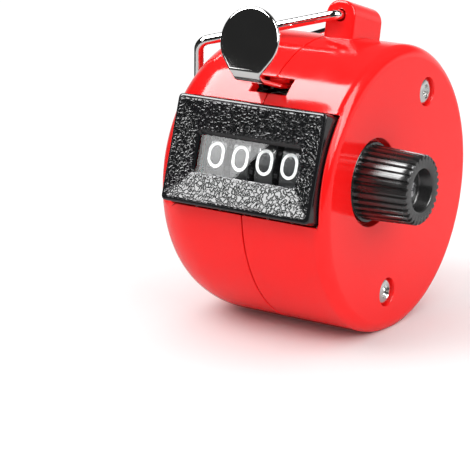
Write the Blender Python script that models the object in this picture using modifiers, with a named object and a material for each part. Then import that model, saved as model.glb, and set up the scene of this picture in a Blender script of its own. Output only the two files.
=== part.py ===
"""Mechanical hand tally counter: round two-shell case, four number wheels, thumb lever,
reset knob and finger ring.

Units are metres. World +Z is up and the counter stands on the narrow flat under its drum.
The origin is on that flat, straight below the drum's axis, at the middle of the drum's length.
The case frame is the drum's own frame: +X along the drum's axis to the reset knob, -Y out of
the display, +Z towards the finger ring. It is leaned back so that the display looks up.
"""

import math

import bmesh
import bpy

# Drum case
drum_radius = 0.0230
case_wall = 0.0018
right_length = 0.0148
left_extra = 0.0037
right_round = 0.0021
left_round_length = 0.0095
left_round_depth = 0.0070
seam_gap = 0.0002
lip_length = 0.0010
lip_wall = 0.0008
lip_root = 0.0030
rest_land_width = 0.0100
display_tilt = math.radians(18.5)

# Clearances that the whole object shares
running_gap = 0.0003
seat_gap = 0.0002
side_gap = 0.00015
overrun = 0.0010

# Display frame and window
bezel_proud = 0.0013
bezel_end_margin = 0.0014
bezel_height = 0.0168
bezel_raise = 0.00055
bezel_depth = 0.0047
bezel_edge_round = 0.0006
bezel_rim = 0.0010
bezel_wall = 0.0012
bezel_front_wall = 0.00255
window_side = 0.0040
window_height = 0.0065
window_depth = 0.00113
window_drop = 0.0001
lens_thickness = 0.0006
lens_lap = 0.0007
lens_lip = 0.00055

# Number wheels, on the reset shaft's axis
wheel_count = 4
wheel_radius_share = 0.566
wheel_side_room = 0.0005
window_gap = 0.00097
wheel_axis_up = 0.0004
wheel_space = 0.0012
wheel_rim_wall = 0.0010
wheel_web = 0.0008
wheel_hub_radius = 0.0030
carry_ring_share = 0.736
carry_ring_wall = 0.0010
carry_tooth_height = 0.0006
carry_tooth_width = 0.0009
gear_thickness = 0.0005
gear_embed = 0.0002
gear_ring_wall = 0.0020

# Carry gearing: gear on each wheel and the pinions behind them
gear_module_share = 0.088
gear_teeth = 20
pinion_teeth = 8
pinion_thickness = 0.0010
pinion_hub_radius = 0.0021
pinion_shaft_radius = 0.0009
pinion_shoulder_radius = 0.0017
tooth_tip_share = 0.30
tooth_root_share = 0.90
addendum_share = 0.70
dedendum_share = 1.10

# Ratchet, pawl and detent
ratchet_teeth = 10
ratchet_radius = 0.0055
ratchet_root = 0.0043
ratchet_thickness = 0.0009
pawl_thickness = 0.0007
pawl_off_centre = 0.0006
pawl_drop = 0.0017
pawl_hub_radius = 0.0014
pawl_nose_ahead = 0.0017
pawl_nose_clear = 0.0010
pawl_nose_height = 0.0009
pawl_rivet_radius = 0.0006
leaf_thickness = 0.00025
pawl_lift_room = 0.0007

# Reset shaft and knob
shaft_radius = 0.0015
shaft_groove = 0.0005
clip_radius = 0.0027
clip_thickness = 0.0005
knob_end_radius = 0.00545
knob_base_radius = 0.00585
knob_reach = 0.0085
knob_ribs = 30
knob_rib_depth = 0.00045
knob_rib_shares = ((-0.34, 0), (0.34, 0), (0.44, 1), (0.56, 1))
knob_end_chamfer = 0.0003
knob_collar_radius = 0.0063
knob_collar_length = 0.0008
knob_cavity_radius = 0.0033
knob_cavity_depth = 0.0024
knob_floor = 0.0011
recess_radius = 0.0069
recess_depth = 0.0015
recess_wall = 0.0010

# Screws
case_screw_head = 0.0019
case_screw_head_height = 0.0011
case_screw_shank = 0.0011
case_screw_length = 0.0140
case_screw_sink = 0.0002
counterbore_radius = 0.0023
screw_boss_radius = 0.0026
screw_boss_split = 0.0058
screw_hole_depth = 0.0160
upper_screw_shares = (0.151, 0.769)
lower_screw_shares = (0.080, -0.759)
knob_screw_head = 0.0013
knob_screw_head_height = 0.0008
knob_screw_shank = 0.0005
knob_screw_length = 0.0042

# Inner frame
plate_thickness = 0.0007
post_radius = 0.0015
stud_radius = 0.0009
upper_post_shares = (0.283, 0.519)
lower_post_shares = (0.236, -0.519)
third_pad_shares = (-0.613, 0.330)
pad_radius = 0.0024
stud_reach = 0.0006
plate_outline_shares = (
    (-0.80, 0.40), (-0.68, 0.61), (0.38, 0.61), (0.49, 0.50), (0.49, -0.50),
    (0.38, -0.61), (-0.30, -0.61), (-0.61, -0.70), (-0.73, -0.61), (-0.80, -0.45),
)

# Thumb lever
lever_thickness = 0.00074
strip_width = 0.0050
strip_above_frame = 0.00331
strip_bend_in_wall = 0.0003
lever_reach = 0.0031
lever_corner_round = 0.0008
web_slope = math.radians(24.0)
web_start = 0.0029
web_end = 0.0052
arm_room = 0.0004
arm_thickness = 0.00065
arm_width = 0.0029
arm_bow = 0.0016
lever_pivot_shares = (-0.637, -0.566)
lever_hub_radius = 0.0019
lever_pin_radius = 0.0008
disc_radius = 0.0052
disc_thickness = 0.0009
disc_rise = 0.00564
disc_lean = math.radians(3.0)
disc_edge_round = 0.00025
slot_width = 0.0066
slot_below = 0.00126
slot_above = 0.00149
lip_relief_depth = 0.0003
lip_relief_spread = math.radians(11.5)

# Lever return spring
spring_wire = 0.0002
spring_radius = 0.00125
spring_turns = 2.75
spring_pitch = 0.00046
spring_leg_up = 0.0052
spring_leg_back = 0.0016
spring_leg_rest = 0.0060
spring_slot_back = 0.0012
spring_slot_width = 0.0011
peg_radius = 0.0006

# Finger ring and its lug
lug_lean = math.radians(6.5)
lug_inset = 0.0001
lug_width = 0.0053
lug_depth = 0.0093
lug_rise = 0.0057
lug_fall = 0.0009
lug_sink = 0.0017
lug_crown_round = 0.0023
lug_edge_round = 0.0005
ring_hole_below = 0.0024
ring_wire = 0.0007
ring_past_end = 0.00017
ring_end_drop = 0.00055
ring_spread = 0.0113
ring_tip_length = 0.0150
ring_tip_half = 0.0026
ring_bend = math.radians(57.0)
ring_bite = 0.0025
ring_corner_round = 0.0012
ring_bend_round = 0.0022
ring_tip_round = 0.0024

# Smoothness
drum_steps = 50
wheel_steps = 28
screw_steps = 16
small_steps = 12
round_steps = 4
circle_start = math.radians(3)
merge_distance = 0.000005

# Sizes worked out from the ones above
inner_radius = drum_radius - case_wall
left_length = right_length + left_extra
seam_half = seam_gap / 2
axis_height = math.sqrt(drum_radius ** 2 - (rest_land_width / 2) ** 2)
land_depth = drum_radius - axis_height
seam_x = (left_length - right_length) / 2
recess_floor = right_length - recess_depth
bezel_front = drum_radius + bezel_proud
bezel_back = bezel_front - bezel_depth
bezel_width = 2 * (right_length - bezel_end_margin)
bezel_low = bezel_raise - bezel_height / 2
bezel_high = bezel_raise + bezel_height / 2
window_width = bezel_width - 2 * window_side
lens_front = bezel_front - window_depth - lens_lip
lens_back = lens_front - side_gap - lens_thickness
wheel_pitch = (window_width - 2 * wheel_side_room) / wheel_count
wheel_band = wheel_pitch - wheel_space
wheel_radius = inner_radius * wheel_radius_share
wheel_axis_forward = lens_back - window_gap - wheel_radius
wheel_y = -wheel_axis_forward
wheel_z = wheel_axis_up
carry_ring_radius = wheel_radius * carry_ring_share
gear_module = wheel_radius * gear_module_share
gear_radius = gear_module * gear_teeth / 2
pinion_radius = gear_module * pinion_teeth / 2
pinion_y = wheel_y + gear_radius + pinion_radius
band_half = wheel_band / 2
wheel_centres = {
    "thousands": -1.5 * wheel_pitch,
    "hundreds": -0.5 * wheel_pitch,
    "tens": 0.5 * wheel_pitch,
    "units": 1.5 * wheel_pitch,
}
ratchet_start = wheel_centres["units"] + band_half + seat_gap
arm_inner = ratchet_start + ratchet_thickness + arm_room
plate_inner = arm_inner + arm_thickness + running_gap
plate_outer = plate_inner + plate_thickness
knob_start = recess_floor + running_gap
knob_tip = right_length + knob_reach
cavity_floor = knob_tip - knob_cavity_depth
shaft_tip = cavity_floor - knob_floor - side_gap
strip_up = bezel_high + strip_above_frame
strip_bend_forward = math.sqrt(inner_radius ** 2 - strip_up ** 2) + strip_bend_in_wall
lever_front = bezel_front + lever_reach
disc_up = strip_up + disc_rise
slot_bottom = strip_up - slot_below
slot_top = strip_up + slot_above
lug_foot = drum_radius - lug_sink
lug_top = drum_radius + lug_rise
ring_hole_up = lug_top - ring_hole_below


def in_case(shares):
    """A place inside the drum, given as shares of its inner radius."""
    return (inner_radius * shares[0], inner_radius * shares[1])


screw_places = {"upper": in_case(upper_screw_shares), "lower": in_case(lower_screw_shares)}
post_places = {"upper": in_case(upper_post_shares), "lower": in_case(lower_post_shares)}
pad_places = {**post_places, "front": in_case(third_pad_shares)}
lever_pivot = in_case(lever_pivot_shares)
lever_pivot_forward = -lever_pivot[0]
lever_pivot_down = -lever_pivot[1]


def new_collection(name):
    collection = bpy.data.collections.new(name)
    bpy.context.scene.collection.children.link(collection)
    return collection


def start_clean():
    for old in list(bpy.data.objects):
        bpy.data.objects.remove(old, do_unlink=True)


start_clean()
parts = new_collection("tally_counter")
cutters = new_collection("tally_counter_cutters")


def material(name, color, roughness, metallic=0.0, alpha=1.0):
    made = bpy.data.materials.new(name)
    made.use_nodes = True
    shader = made.node_tree.nodes["Principled BSDF"]
    shader.inputs["Base Color"].default_value = (*color, 1.0)
    shader.inputs["Roughness"].default_value = roughness
    shader.inputs["Metallic"].default_value = metallic
    shader.inputs["Alpha"].default_value = alpha
    return made


red_shell = material("red_gloss_shell", (0.72, 0.010, 0.012), 0.16)
black_grain = material("black_grained_frame", (0.020, 0.020, 0.022), 0.42)
clear_window = material("clear_window", (0.90, 0.92, 0.93), 0.04, alpha=0.35)
wheel_black = material("black_number_wheel", (0.035, 0.035, 0.037), 0.45)
chrome = material("bright_chrome", (0.80, 0.80, 0.81), 0.08, metallic=1.0)
knob_black = material("black_knob", (0.025, 0.025, 0.027), 0.34)
zinc_steel = material("zinc_plated_steel", (0.60, 0.61, 0.62), 0.28, metallic=1.0)
spring_steel = material("spring_steel", (0.42, 0.42, 0.44), 0.30, metallic=1.0)
pinion_white = material("natural_pinion", (0.80, 0.79, 0.74), 0.50)


def frame_empty(name, parent=None, location=(0, 0, 0), rotation=(0, 0, 0)):
    empty = bpy.data.objects.new(name, None)
    empty.parent = parent
    empty.location = location
    empty.rotation_euler = rotation
    parts.objects.link(empty)
    return empty


case_frame = frame_empty("case_frame", None, (seam_x, 0, axis_height), (-display_tilt, 0, 0))
lug_frame = frame_empty("lug_frame", case_frame, (0, 0, 0), (lug_lean, 0, 0))
along_x = (0, math.pi / 2, 0)
across_x = (math.pi / 2, 0, math.pi / 2)
facing_front = (math.pi / 2, 0, 0)


def add_object(name, mesh, finish, parent=case_frame, location=(0, 0, 0), rotation=(0, 0, 0)):
    made = bpy.data.objects.new(name, mesh)
    made.parent = parent
    made.location = location
    made.rotation_euler = rotation
    if finish is None:
        cutters.objects.link(made)
        made.hide_render = True
        made.display_type = "WIRE"
    else:
        parts.objects.link(made)
        mesh.materials.append(finish)
    return made


def turned(name, finish, profile, steps, closed=False, **place):
    """Turn a profile of (radius, height) points about the object's own Z axis."""
    mesh = bpy.data.meshes.new(name)
    count = len(profile)
    edges = [(i, i + 1) for i in range(count - 1)]
    if closed:
        edges.append((count - 1, 0))
    mesh.from_pydata([(r, 0, h) for r, h in profile], edges, [])
    made = add_object(name, mesh, finish, **place)
    screw = made.modifiers.new("Turn", "SCREW")
    screw.steps = steps
    screw.render_steps = steps
    screw.use_merge_vertices = True
    screw.merge_threshold = merge_distance
    screw.use_smooth_shade = True
    return made


def box(name, finish, low, high, **place):
    mesh = bpy.data.meshes.new(name)
    shape = bmesh.new()
    bmesh.ops.create_cube(shape, size=1.0)
    for vertex in shape.verts:
        for axis in range(3):
            middle = (low[axis] + high[axis]) / 2
            vertex.co[axis] = middle + vertex.co[axis] * (high[axis] - low[axis])
    shape.to_mesh(mesh)
    shape.free()
    return add_object(name, mesh, finish, **place)


def rod(name, finish, radius, low, high, steps=small_steps, **place):
    """A plain round bar along the object's own Z axis."""
    mesh = bpy.data.meshes.new(name)
    shape = bmesh.new()
    bmesh.ops.create_cone(shape, cap_ends=True, cap_tris=False, segments=steps,
                          radius1=radius, radius2=radius, depth=high - low)
    bmesh.ops.translate(shape, verts=shape.verts, vec=(0, 0, (high + low) / 2))
    shape.to_mesh(mesh)
    shape.free()
    return add_object(name, mesh, finish, **place)


def curve_to_mesh(curve_object, name, finish, **place):
    """Make a curve a welded mesh object, and remove the curve."""
    bpy.context.view_layer.update()
    seen = curve_object.evaluated_get(bpy.context.evaluated_depsgraph_get())
    mesh = bpy.data.meshes.new_from_object(seen)
    shape = bmesh.new()
    shape.from_mesh(mesh)
    bmesh.ops.remove_doubles(shape, verts=shape.verts, dist=merge_distance)
    shape.to_mesh(mesh)
    shape.free()
    mesh.materials.clear()
    mesh.name = name
    bpy.data.objects.remove(curve_object, do_unlink=True)
    return add_object(name, mesh, finish, **place)


def plate(name, finish, loops, thickness, **place):
    """A flat outline with holes, thick along the object's own Z axis and centred on it."""
    curve = bpy.data.curves.new(name, "CURVE")
    curve.dimensions = "2D"
    curve.fill_mode = "BOTH"
    curve.extrude = thickness / 2
    for loop in loops:
        spline = curve.splines.new("POLY")
        spline.points.add(len(loop) - 1)
        for point, (a, b) in zip(spline.points, loop):
            point.co = (a, b, 0, 1)
        spline.use_cyclic_u = True
    drawn = bpy.data.objects.new(name + "_outline", curve)
    bpy.context.scene.collection.objects.link(drawn)
    return curve_to_mesh(drawn, name, finish, **place)


def wire(name, finish, points, radius, resolution, **place):
    """A round wire along a chain of points, with filled ends."""
    curve = bpy.data.curves.new(name, "CURVE")
    curve.dimensions = "3D"
    curve.bevel_depth = radius
    curve.bevel_resolution = resolution
    curve.use_fill_caps = True
    spline = curve.splines.new("POLY")
    spline.points.add(len(points) - 1)
    for point, (x, y, z) in zip(spline.points, points):
        point.co = (x, y, z, 1)
    drawn = bpy.data.objects.new(name + "_path", curve)
    bpy.context.scene.collection.objects.link(drawn)
    return curve_to_mesh(drawn, name, finish, **place)


def combine(target, tool, operation):
    step = target.modifiers.new(operation.title() + " " + tool.name, "BOOLEAN")
    step.operation = operation
    step.object = tool
    step.solver = "EXACT"
    return target


def cut(target, tool):
    return combine(target, tool, "DIFFERENCE")


def join(target, tool):
    return combine(target, tool, "UNION")


def soften(target, width, segments):
    edge = target.modifiers.new("Rounded edges", "BEVEL")
    edge.width = width
    edge.segments = segments
    edge.limit_method = "ANGLE"
    edge.angle_limit = math.radians(40)
    return target


def arc(centre, radii, start, end, steps):
    """Points of an arc in a plane, from one angle to another."""
    points = []
    for i in range(steps + 1):
        angle = start + (end - start) * i / steps
        points.append((centre[0] + radii[0] * math.cos(angle), centre[1] + radii[1] * math.sin(angle)))
    return points


def circle(centre, radius, steps=small_steps):
    return arc(centre, (radius, radius), circle_start, circle_start + 2 * math.pi, steps)[:-1]


def rounded_path(points, rounds, steps):
    """A chain of points with each inner corner rounded by an arc of its own radius."""
    from mathutils import Vector
    chain = [Vector(point) for point in points]
    smooth = [chain[0]]
    for before, corner, after, radius in zip(chain, chain[1:], chain[2:], rounds):
        arrive = (before - corner).normalized()
        leave = (after - corner).normalized()
        half_angle = arrive.angle(leave) / 2
        middle = (arrive + leave).normalized()
        reach = radius / math.tan(half_angle)
        hub = corner + middle * (radius / math.sin(half_angle))
        first = corner + arrive * reach - hub
        last = corner + leave * reach - hub
        for i in range(steps + 1):
            smooth.append(hub + first.slerp(last, i / steps) * radius)
    smooth.append(chain[-1])
    return smooth


def bent_sheet(points, rounds, thickness, steps):
    """Outline of a bent sheet seen from its edge: a rounded centre line given its thickness."""
    line = rounded_path([(a, b, 0) for a, b in points], rounds, steps)
    above = []
    below = []
    for i, point in enumerate(line):
        ahead = line[min(i + 1, len(line) - 1)]
        behind = line[max(i - 1, 0)]
        run = (ahead - behind).normalized()
        above.append((point.x - run.y * thickness / 2, point.y + run.x * thickness / 2))
        below.append((point.x + run.y * thickness / 2, point.y - run.x * thickness / 2))
    return above + below[::-1]


def toothed(teeth, module, turn=0.0):
    """Outline of a spur gear with straight-sided teeth."""
    pitch_radius = module * teeth / 2
    tip = pitch_radius + module * addendum_share
    root = pitch_radius - module * dedendum_share
    tip_half = module * tooth_tip_share / tip
    root_half = module * tooth_root_share / root
    points = []
    for i in range(teeth):
        middle = turn + 2 * math.pi * i / teeth
        for radius, angle in (
            (root, middle - root_half),
            (tip, middle - tip_half),
            (tip, middle + tip_half),
            (root, middle + root_half),
        ):
            points.append((radius * math.cos(angle), radius * math.sin(angle)))
    return points


# Case shells
def right_shell_profile():
    corner = (drum_radius - right_round, right_length - right_round)
    inner_round = right_round - case_wall
    outer = arc(corner, (right_round, right_round), math.pi / 2, 0, round_steps)
    inner = arc(corner, (inner_round, inner_round), 0, math.pi / 2, 2)
    seam = [(drum_radius, seam_half), (inner_radius, seam_half)]
    return [(0, right_length)] + outer + seam + inner + [(0, right_length - case_wall)]


def left_shell_profile():
    corner = (drum_radius - left_round_depth, left_round_length - left_length)
    inner_radii = (left_round_depth - case_wall, left_round_length - case_wall)
    outer = arc(corner, (left_round_depth, left_round_length), 0, -math.pi / 2, 2 * round_steps)
    inner = arc(corner, inner_radii, -math.pi / 2, 0, round_steps)
    lip_outer = inner_radius - seat_gap
    lip_inner = lip_outer - lip_wall
    lip = [
        (inner_radius, -lip_root),
        (lip_inner, lip_wall + seat_gap - lip_root),
        (lip_inner, lip_length),
        (lip_outer, lip_length),
        (lip_outer, -seam_half),
    ]
    rim = [(drum_radius, -seam_half)]
    return [(0, case_wall - left_length)] + inner + lip + rim + outer + [(0, -left_length)]


right_shell = turned("right_shell", red_shell, right_shell_profile(), drum_steps, rotation=along_x)
left_shell = turned("left_shell", red_shell, left_shell_profile(), drum_steps, rotation=along_x)



def left_boss_end(y, z):
    """Where the left shell's rounded end has room for a boss: a third of the wall inside it."""
    past_flat = math.hypot(y, z) + screw_boss_radius + left_round_depth - drum_radius
    fall = 1 - math.sqrt(1 - (max(past_flat, 0) / left_round_depth) ** 2)
    return case_wall / 3 + left_round_length * fall - left_length


# Screw bosses: the left one crosses the seam and meets the right one
for label, (y, z) in screw_places.items():
    place = {"location": (0, y, z), "rotation": along_x}
    right_boss = rod("right_boss_" + label, None, screw_boss_radius,
                     screw_boss_split + running_gap, right_length - case_wall / 2, **place)
    left_boss = rod("left_boss_" + label, None, screw_boss_radius,
                    left_boss_end(y, z), screw_boss_split, **place)
    hole = rod("screw_hole_" + label, None, case_screw_shank + running_gap,
               right_length - screw_hole_depth, right_length + overrun, **place)
    sink_floor = right_length - case_screw_sink - case_screw_head_height - side_gap
    sink = rod("counterbore_" + label, None, counterbore_radius,
               sink_floor, right_length + overrun, steps=20, **place)
    join(right_shell, right_boss)
    join(left_shell, left_boss)
    cut(right_shell, hole)
    cut(left_shell, hole)
    cut(right_shell, sink)

# Pads that hold the inner frame's plates, with sockets for the posts' ends
for label, (y, z) in pad_places.items():
    place = {"location": (0, y, z), "rotation": along_x}
    left_pad = rod("left_pad_" + label, None, pad_radius,
                   case_wall / 2 - left_length, -plate_outer - side_gap, **place)
    join(left_shell, left_pad)
    if label in post_places:
        right_pad = rod("right_pad_" + label, None, pad_radius,
                        plate_outer + side_gap, right_length - case_wall / 2, **place)
        join(right_shell, right_pad)
        reach = plate_outer + stud_reach + running_gap
        socket = rod("stud_socket_" + label, None, stud_radius + running_gap, -reach, reach, **place)
        cut(left_shell, socket)
        cut(right_shell, socket)

# Peg under the return spring's fixed leg
peg_y = spring_leg_rest - lever_pivot_forward - peg_radius
peg_z = spring_radius - spring_wire - running_gap - peg_radius - lever_pivot_down
spring_outer = -plate_outer - running_gap - spring_turns * spring_pitch
peg = rod("spring_peg", None, peg_radius, case_wall / 2 - left_length,
          spring_outer + spring_pitch, steps=10, location=(0, peg_y, peg_z), rotation=along_x)
join(left_shell, peg)

# Knob recess: a cup let into the right end face
knob_axis = {"location": (0, wheel_y, wheel_z), "rotation": along_x}
cup = rod("recess_cup", None, recess_radius + recess_wall,
          recess_floor - recess_wall, right_length - case_wall / 2, steps=32, **knob_axis)
recess = rod("recess_hole", None, recess_radius, recess_floor, right_length + overrun, steps=40, **knob_axis)
shaft_hole = rod("case_shaft_hole", None, shaft_radius + running_gap,
                 plate_outer, right_length, steps=20, **knob_axis)
join(right_shell, cup)
cut(right_shell, recess)
cut(right_shell, shaft_hole)

# Lug for the finger ring, part of the right shell
lug_left = seam_half + lug_inset
lug_middle = lug_left + lug_width / 2
crown_left = (lug_left + lug_crown_round, lug_top - lug_crown_round)
crown_right = (lug_left + lug_width - lug_crown_round, lug_top - lug_crown_round)
crown_radii = (lug_crown_round, lug_crown_round)
lug_outline = (
    [(lug_left, lug_foot), (lug_left + lug_width, lug_foot)]
    + arc(crown_right, crown_radii, 0, math.pi / 2, round_steps)
    + arc(crown_left, crown_radii, math.pi / 2, math.pi, round_steps)
)
lug = plate("ring_lug", None, [lug_outline], lug_depth, parent=lug_frame, rotation=facing_front)
for vertex in lug.data.vertices:
    if vertex.co.y > lug_foot + lug_edge_round and vertex.co.z < 0:
        vertex.co.y -= lug_fall
soften(lug, lug_edge_round, 2)
ring_hole = rod("ring_hole", None, ring_wire + running_gap, -lug_depth, lug_depth, parent=lug_frame,
                location=(lug_middle, 0, ring_hole_up), rotation=facing_front)
join(right_shell, lug)
cut(right_shell, ring_hole)

# Openings through the drum wall
frame_opening = box(
    "frame_opening", None,
    (-bezel_width / 2 - seat_gap, -bezel_front, bezel_low - seat_gap),
    (bezel_width / 2 + seat_gap, seat_gap - bezel_back + case_wall, bezel_high + seat_gap),
)
lever_slot = box(
    "lever_slot", None,
    (-slot_width / 2, -drum_radius, slot_bottom),
    (slot_width / 2, 2 * lip_wall - strip_bend_forward, slot_top),
)
rest_land = box(
    "rest_land", None,
    (-left_length - overrun, -drum_radius, -land_depth - overrun),
    (right_length + overrun, drum_radius, 0),
    parent=None, location=(seam_x, 0, 0),
)
for shell in (left_shell, right_shell):
    cut(shell, frame_opening)
    cut(shell, lever_slot)
    cut(shell, rest_land)
relief_outer = inner_radius + lip_relief_depth
relief_inner = inner_radius - seat_gap - 2 * lip_wall
relief_start = math.pi - math.asin(slot_top / inner_radius) - lip_relief_spread
relief_end = math.pi - math.asin(slot_bottom / inner_radius) + lip_relief_spread
lip_relief = plate(
    "lip_relief", None,
    [arc((0, 0), (relief_outer, relief_outer), relief_start, relief_end, small_steps)
     + arc((0, 0), (relief_inner, relief_inner), relief_end, relief_start, small_steps)],
    lip_root + lip_length + 2 * running_gap,
    location=((lip_length - lip_root) / 2, 0, 0), rotation=across_x,
)
cut(left_shell, lip_relief)

# Display frame
bezel = box(
    "bezel", black_grain,
    (-bezel_width / 2, -bezel_front, bezel_low),
    (bezel_width / 2, -bezel_back, bezel_high),
)
soften(bezel, bezel_edge_round, 2)
window_low = bezel_raise - window_drop - window_height / 2
window_high = window_low + window_height


def sloped_faces_cutter():
    """The four inner faces of the frame, from its rim down to the window's edge."""
    cutter = box(
        "frame_slopes", None,
        (-window_width / 2, -bezel_front - overrun, window_low),
        (window_width / 2, window_depth - bezel_front, window_high),
    )
    stretch = (window_depth + overrun) / window_depth
    spread_x = ((bezel_width - window_width) / 2 - bezel_rim) * stretch
    spread_up = (bezel_high - bezel_rim - window_high) * stretch
    spread_down = (window_low - bezel_low - bezel_rim) * stretch
    for vertex in cutter.data.vertices:
        place = vertex.co
        if place.y < -bezel_front:
            place.x += math.copysign(spread_x, place.x)
            place.z += spread_up if place.z > bezel_raise else -spread_down
    return cutter


window_hole = box(
    "window_hole", None,
    (-window_width / 2, -bezel_front, window_low),
    (window_width / 2, -bezel_back, window_high),
)
lens_pocket = box(
    "lens_pocket", None,
    (-window_width / 2 - lens_lap - side_gap, -lens_front, window_low - lens_lap - side_gap),
    (window_width / 2 + lens_lap + side_gap, -bezel_back, window_high + lens_lap + side_gap),
)
frame_hollow = box(
    "frame_hollow", None,
    (bezel_wall - bezel_width / 2, bezel_front_wall - bezel_front, bezel_low + bezel_wall),
    (bezel_width / 2 - bezel_wall, overrun - bezel_back, bezel_high - bezel_wall),
)
for cutter in (sloped_faces_cutter(), window_hole, lens_pocket, frame_hollow):
    cut(bezel, cutter)

window_lens = box(
    "window_lens", clear_window,
    (-window_width / 2 - lens_lap, side_gap - lens_front, window_low - lens_lap),
    (window_width / 2 + lens_lap, -lens_back, window_high + lens_lap),
)


# Number wheels
def wheel_profile(carries):
    low = -band_half - gear_thickness if carries else wheel_web - band_half
    web_low = band_half - wheel_web
    ring_inner = carry_ring_radius - carry_ring_wall
    hub_low = -band_half - gear_thickness
    bore = shaft_radius + running_gap
    rim = [
        (bore, band_half),
        (wheel_radius, band_half),
        (wheel_radius, -band_half),
        (wheel_radius - wheel_rim_wall, -band_half),
        (wheel_radius - wheel_rim_wall, web_low),
    ]
    ring = [
        (carry_ring_radius, web_low),
        (carry_ring_radius, low),
        (ring_inner, low),
        (ring_inner, web_low),
    ]
    hub = [(wheel_hub_radius, web_low), (wheel_hub_radius, hub_low), (bore, hub_low)]
    return rim + ring + hub


def number_wheel(label, carries, driven):
    """One wheel: digit band, web and hub, with a carry ring on its left and a gear on its right."""
    centre = wheel_centres[label]
    place = {"location": (centre, wheel_y, wheel_z)}
    wheel = turned("number_wheel_" + label, wheel_black, wheel_profile(carries), wheel_steps,
                   closed=True, rotation=along_x, **place)
    if driven:
        gear = plate("gear_of_" + label, None,
                     [toothed(gear_teeth, gear_module, math.pi / gear_teeth),
                      circle((0, 0), carry_ring_radius - gear_ring_wall, 24)],
                     gear_thickness + gear_embed,
                     location=(centre + band_half + (gear_thickness - gear_embed) / 2, wheel_y, wheel_z),
                     rotation=across_x)
        join(wheel, gear)
    if carries:
        for side in (-1, 1):
            turn = side * math.pi / gear_teeth
            tooth = box("carry_tooth_" + label, None,
                        (side_gap - band_half - gear_thickness, carry_ring_radius - carry_ring_wall / 2,
                         -carry_tooth_width / 2),
                        (-band_half, carry_ring_radius + carry_tooth_height, carry_tooth_width / 2),
                        location=place["location"], rotation=(turn + math.pi, 0, 0))
            join(wheel, tooth)
    return wheel


number_wheel("units", carries=True, driven=False)
number_wheel("tens", carries=True, driven=True)
number_wheel("hundreds", carries=True, driven=True)
number_wheel("thousands", carries=False, driven=True)

# Carry pinions on their fixed shaft, one in each gap between two wheels
for label in ("tens", "hundreds", "thousands"):
    centre = wheel_centres[label] + wheel_pitch / 2
    hub_half = wheel_pitch / 2 - seat_gap / 2
    bore = pinion_shaft_radius + running_gap
    place = {"location": (centre, pinion_y, wheel_z)}
    pinion = plate("transfer_pinion_" + label, pinion_white,
                   [toothed(pinion_teeth, gear_module), circle((0, 0), (bore + pinion_hub_radius) / 2)],
                   pinion_thickness, rotation=across_x, **place)
    sleeve_profile = [(bore, hub_half), (pinion_hub_radius, hub_half),
                      (pinion_hub_radius, -hub_half), (bore, -hub_half)]
    sleeve = turned("sleeve_of_" + label, None, sleeve_profile, small_steps, closed=True,
                    rotation=along_x, **place)
    join(pinion, sleeve)

shaft_end = plate_outer + stud_reach
shoulder_start = 1.5 * wheel_pitch + seat_gap
shoulder_end = plate_inner - side_gap
turned("pinion_shaft", zinc_steel, [
    (0, shaft_end), (pinion_shaft_radius, shaft_end),
    (pinion_shaft_radius, shoulder_end), (pinion_shoulder_radius, shoulder_end),
    (pinion_shoulder_radius, shoulder_start), (pinion_shaft_radius, shoulder_start),
    (pinion_shaft_radius, -shoulder_start), (pinion_shoulder_radius, -shoulder_start),
    (pinion_shoulder_radius, -shoulder_end), (pinion_shaft_radius, -shoulder_end),
    (pinion_shaft_radius, -shaft_end), (0, -shaft_end),
], small_steps, location=(0, pinion_y, wheel_z), rotation=along_x)


# Ratchet on the units wheel
def ratchet_outline():
    points = []
    for i in range(ratchet_teeth):
        angle = 2 * math.pi * i / ratchet_teeth
        points.append((ratchet_radius * math.cos(angle), ratchet_radius * math.sin(angle)))
        points.append((ratchet_root * math.cos(angle), ratchet_root * math.sin(angle)))
    return points


plate("ratchet_wheel", zinc_steel, [ratchet_outline(), circle((0, 0), shaft_radius + running_gap)],
      ratchet_thickness, location=(ratchet_start + ratchet_thickness / 2, wheel_y, wheel_z),
      rotation=across_x)

# Reset shaft, its clip and the knob
reset_axis = {"location": (0, wheel_y, wheel_z), "rotation": along_x}
clip_right = -plate_outer - side_gap
clip_left = clip_right - clip_thickness
shaft_left = clip_left - clip_thickness
neck = shaft_radius - shaft_groove
reset_shaft = turned("reset_shaft", zinc_steel, [
    (0, shaft_tip), (shaft_radius, shaft_tip),
    (shaft_radius, clip_right), (neck, clip_right),
    (neck, clip_left), (shaft_radius, clip_left),
    (shaft_radius, shaft_left), (0, shaft_left),
], 20, **reset_axis)
pick_up_groove = box("pick_up_groove", None,
                     (-2 * wheel_pitch, shaft_radius - shaft_groove, -shaft_groove / 2),
                     (2 * wheel_pitch, shaft_radius + shaft_groove, shaft_groove / 2),
                     location=(0, wheel_y, wheel_z))
screw_socket = rod("shaft_screw_socket", None, knob_screw_shank + running_gap,
                   shaft_tip - knob_screw_length, shaft_tip + overrun, steps=12, **reset_axis)
cut(reset_shaft, pick_up_groove)
cut(reset_shaft, screw_socket)

clip_inner = neck + side_gap
clip_mouth = math.radians(35)
clip_outline = (
    arc((0, 0), (clip_radius, clip_radius), clip_mouth, 2 * math.pi - clip_mouth, small_steps)
    + arc((0, 0), (clip_inner, clip_inner), 2 * math.pi - clip_mouth, clip_mouth, small_steps)
)
plate("shaft_clip", spring_steel, [clip_outline], clip_thickness - side_gap,
      location=((clip_left + clip_right) / 2, wheel_y, wheel_z), rotation=across_x)


def knob_outline(radius):
    """Flat-topped ribs with narrow grooves between them."""
    points = []
    step = 2 * math.pi / knob_ribs
    for i in range(knob_ribs):
        for turn_share, depth_share in knob_rib_shares:
            angle = (i + turn_share) * step
            reach = radius - knob_rib_depth * depth_share
            points.append((reach * math.cos(angle), reach * math.sin(angle)))
    return points


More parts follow.
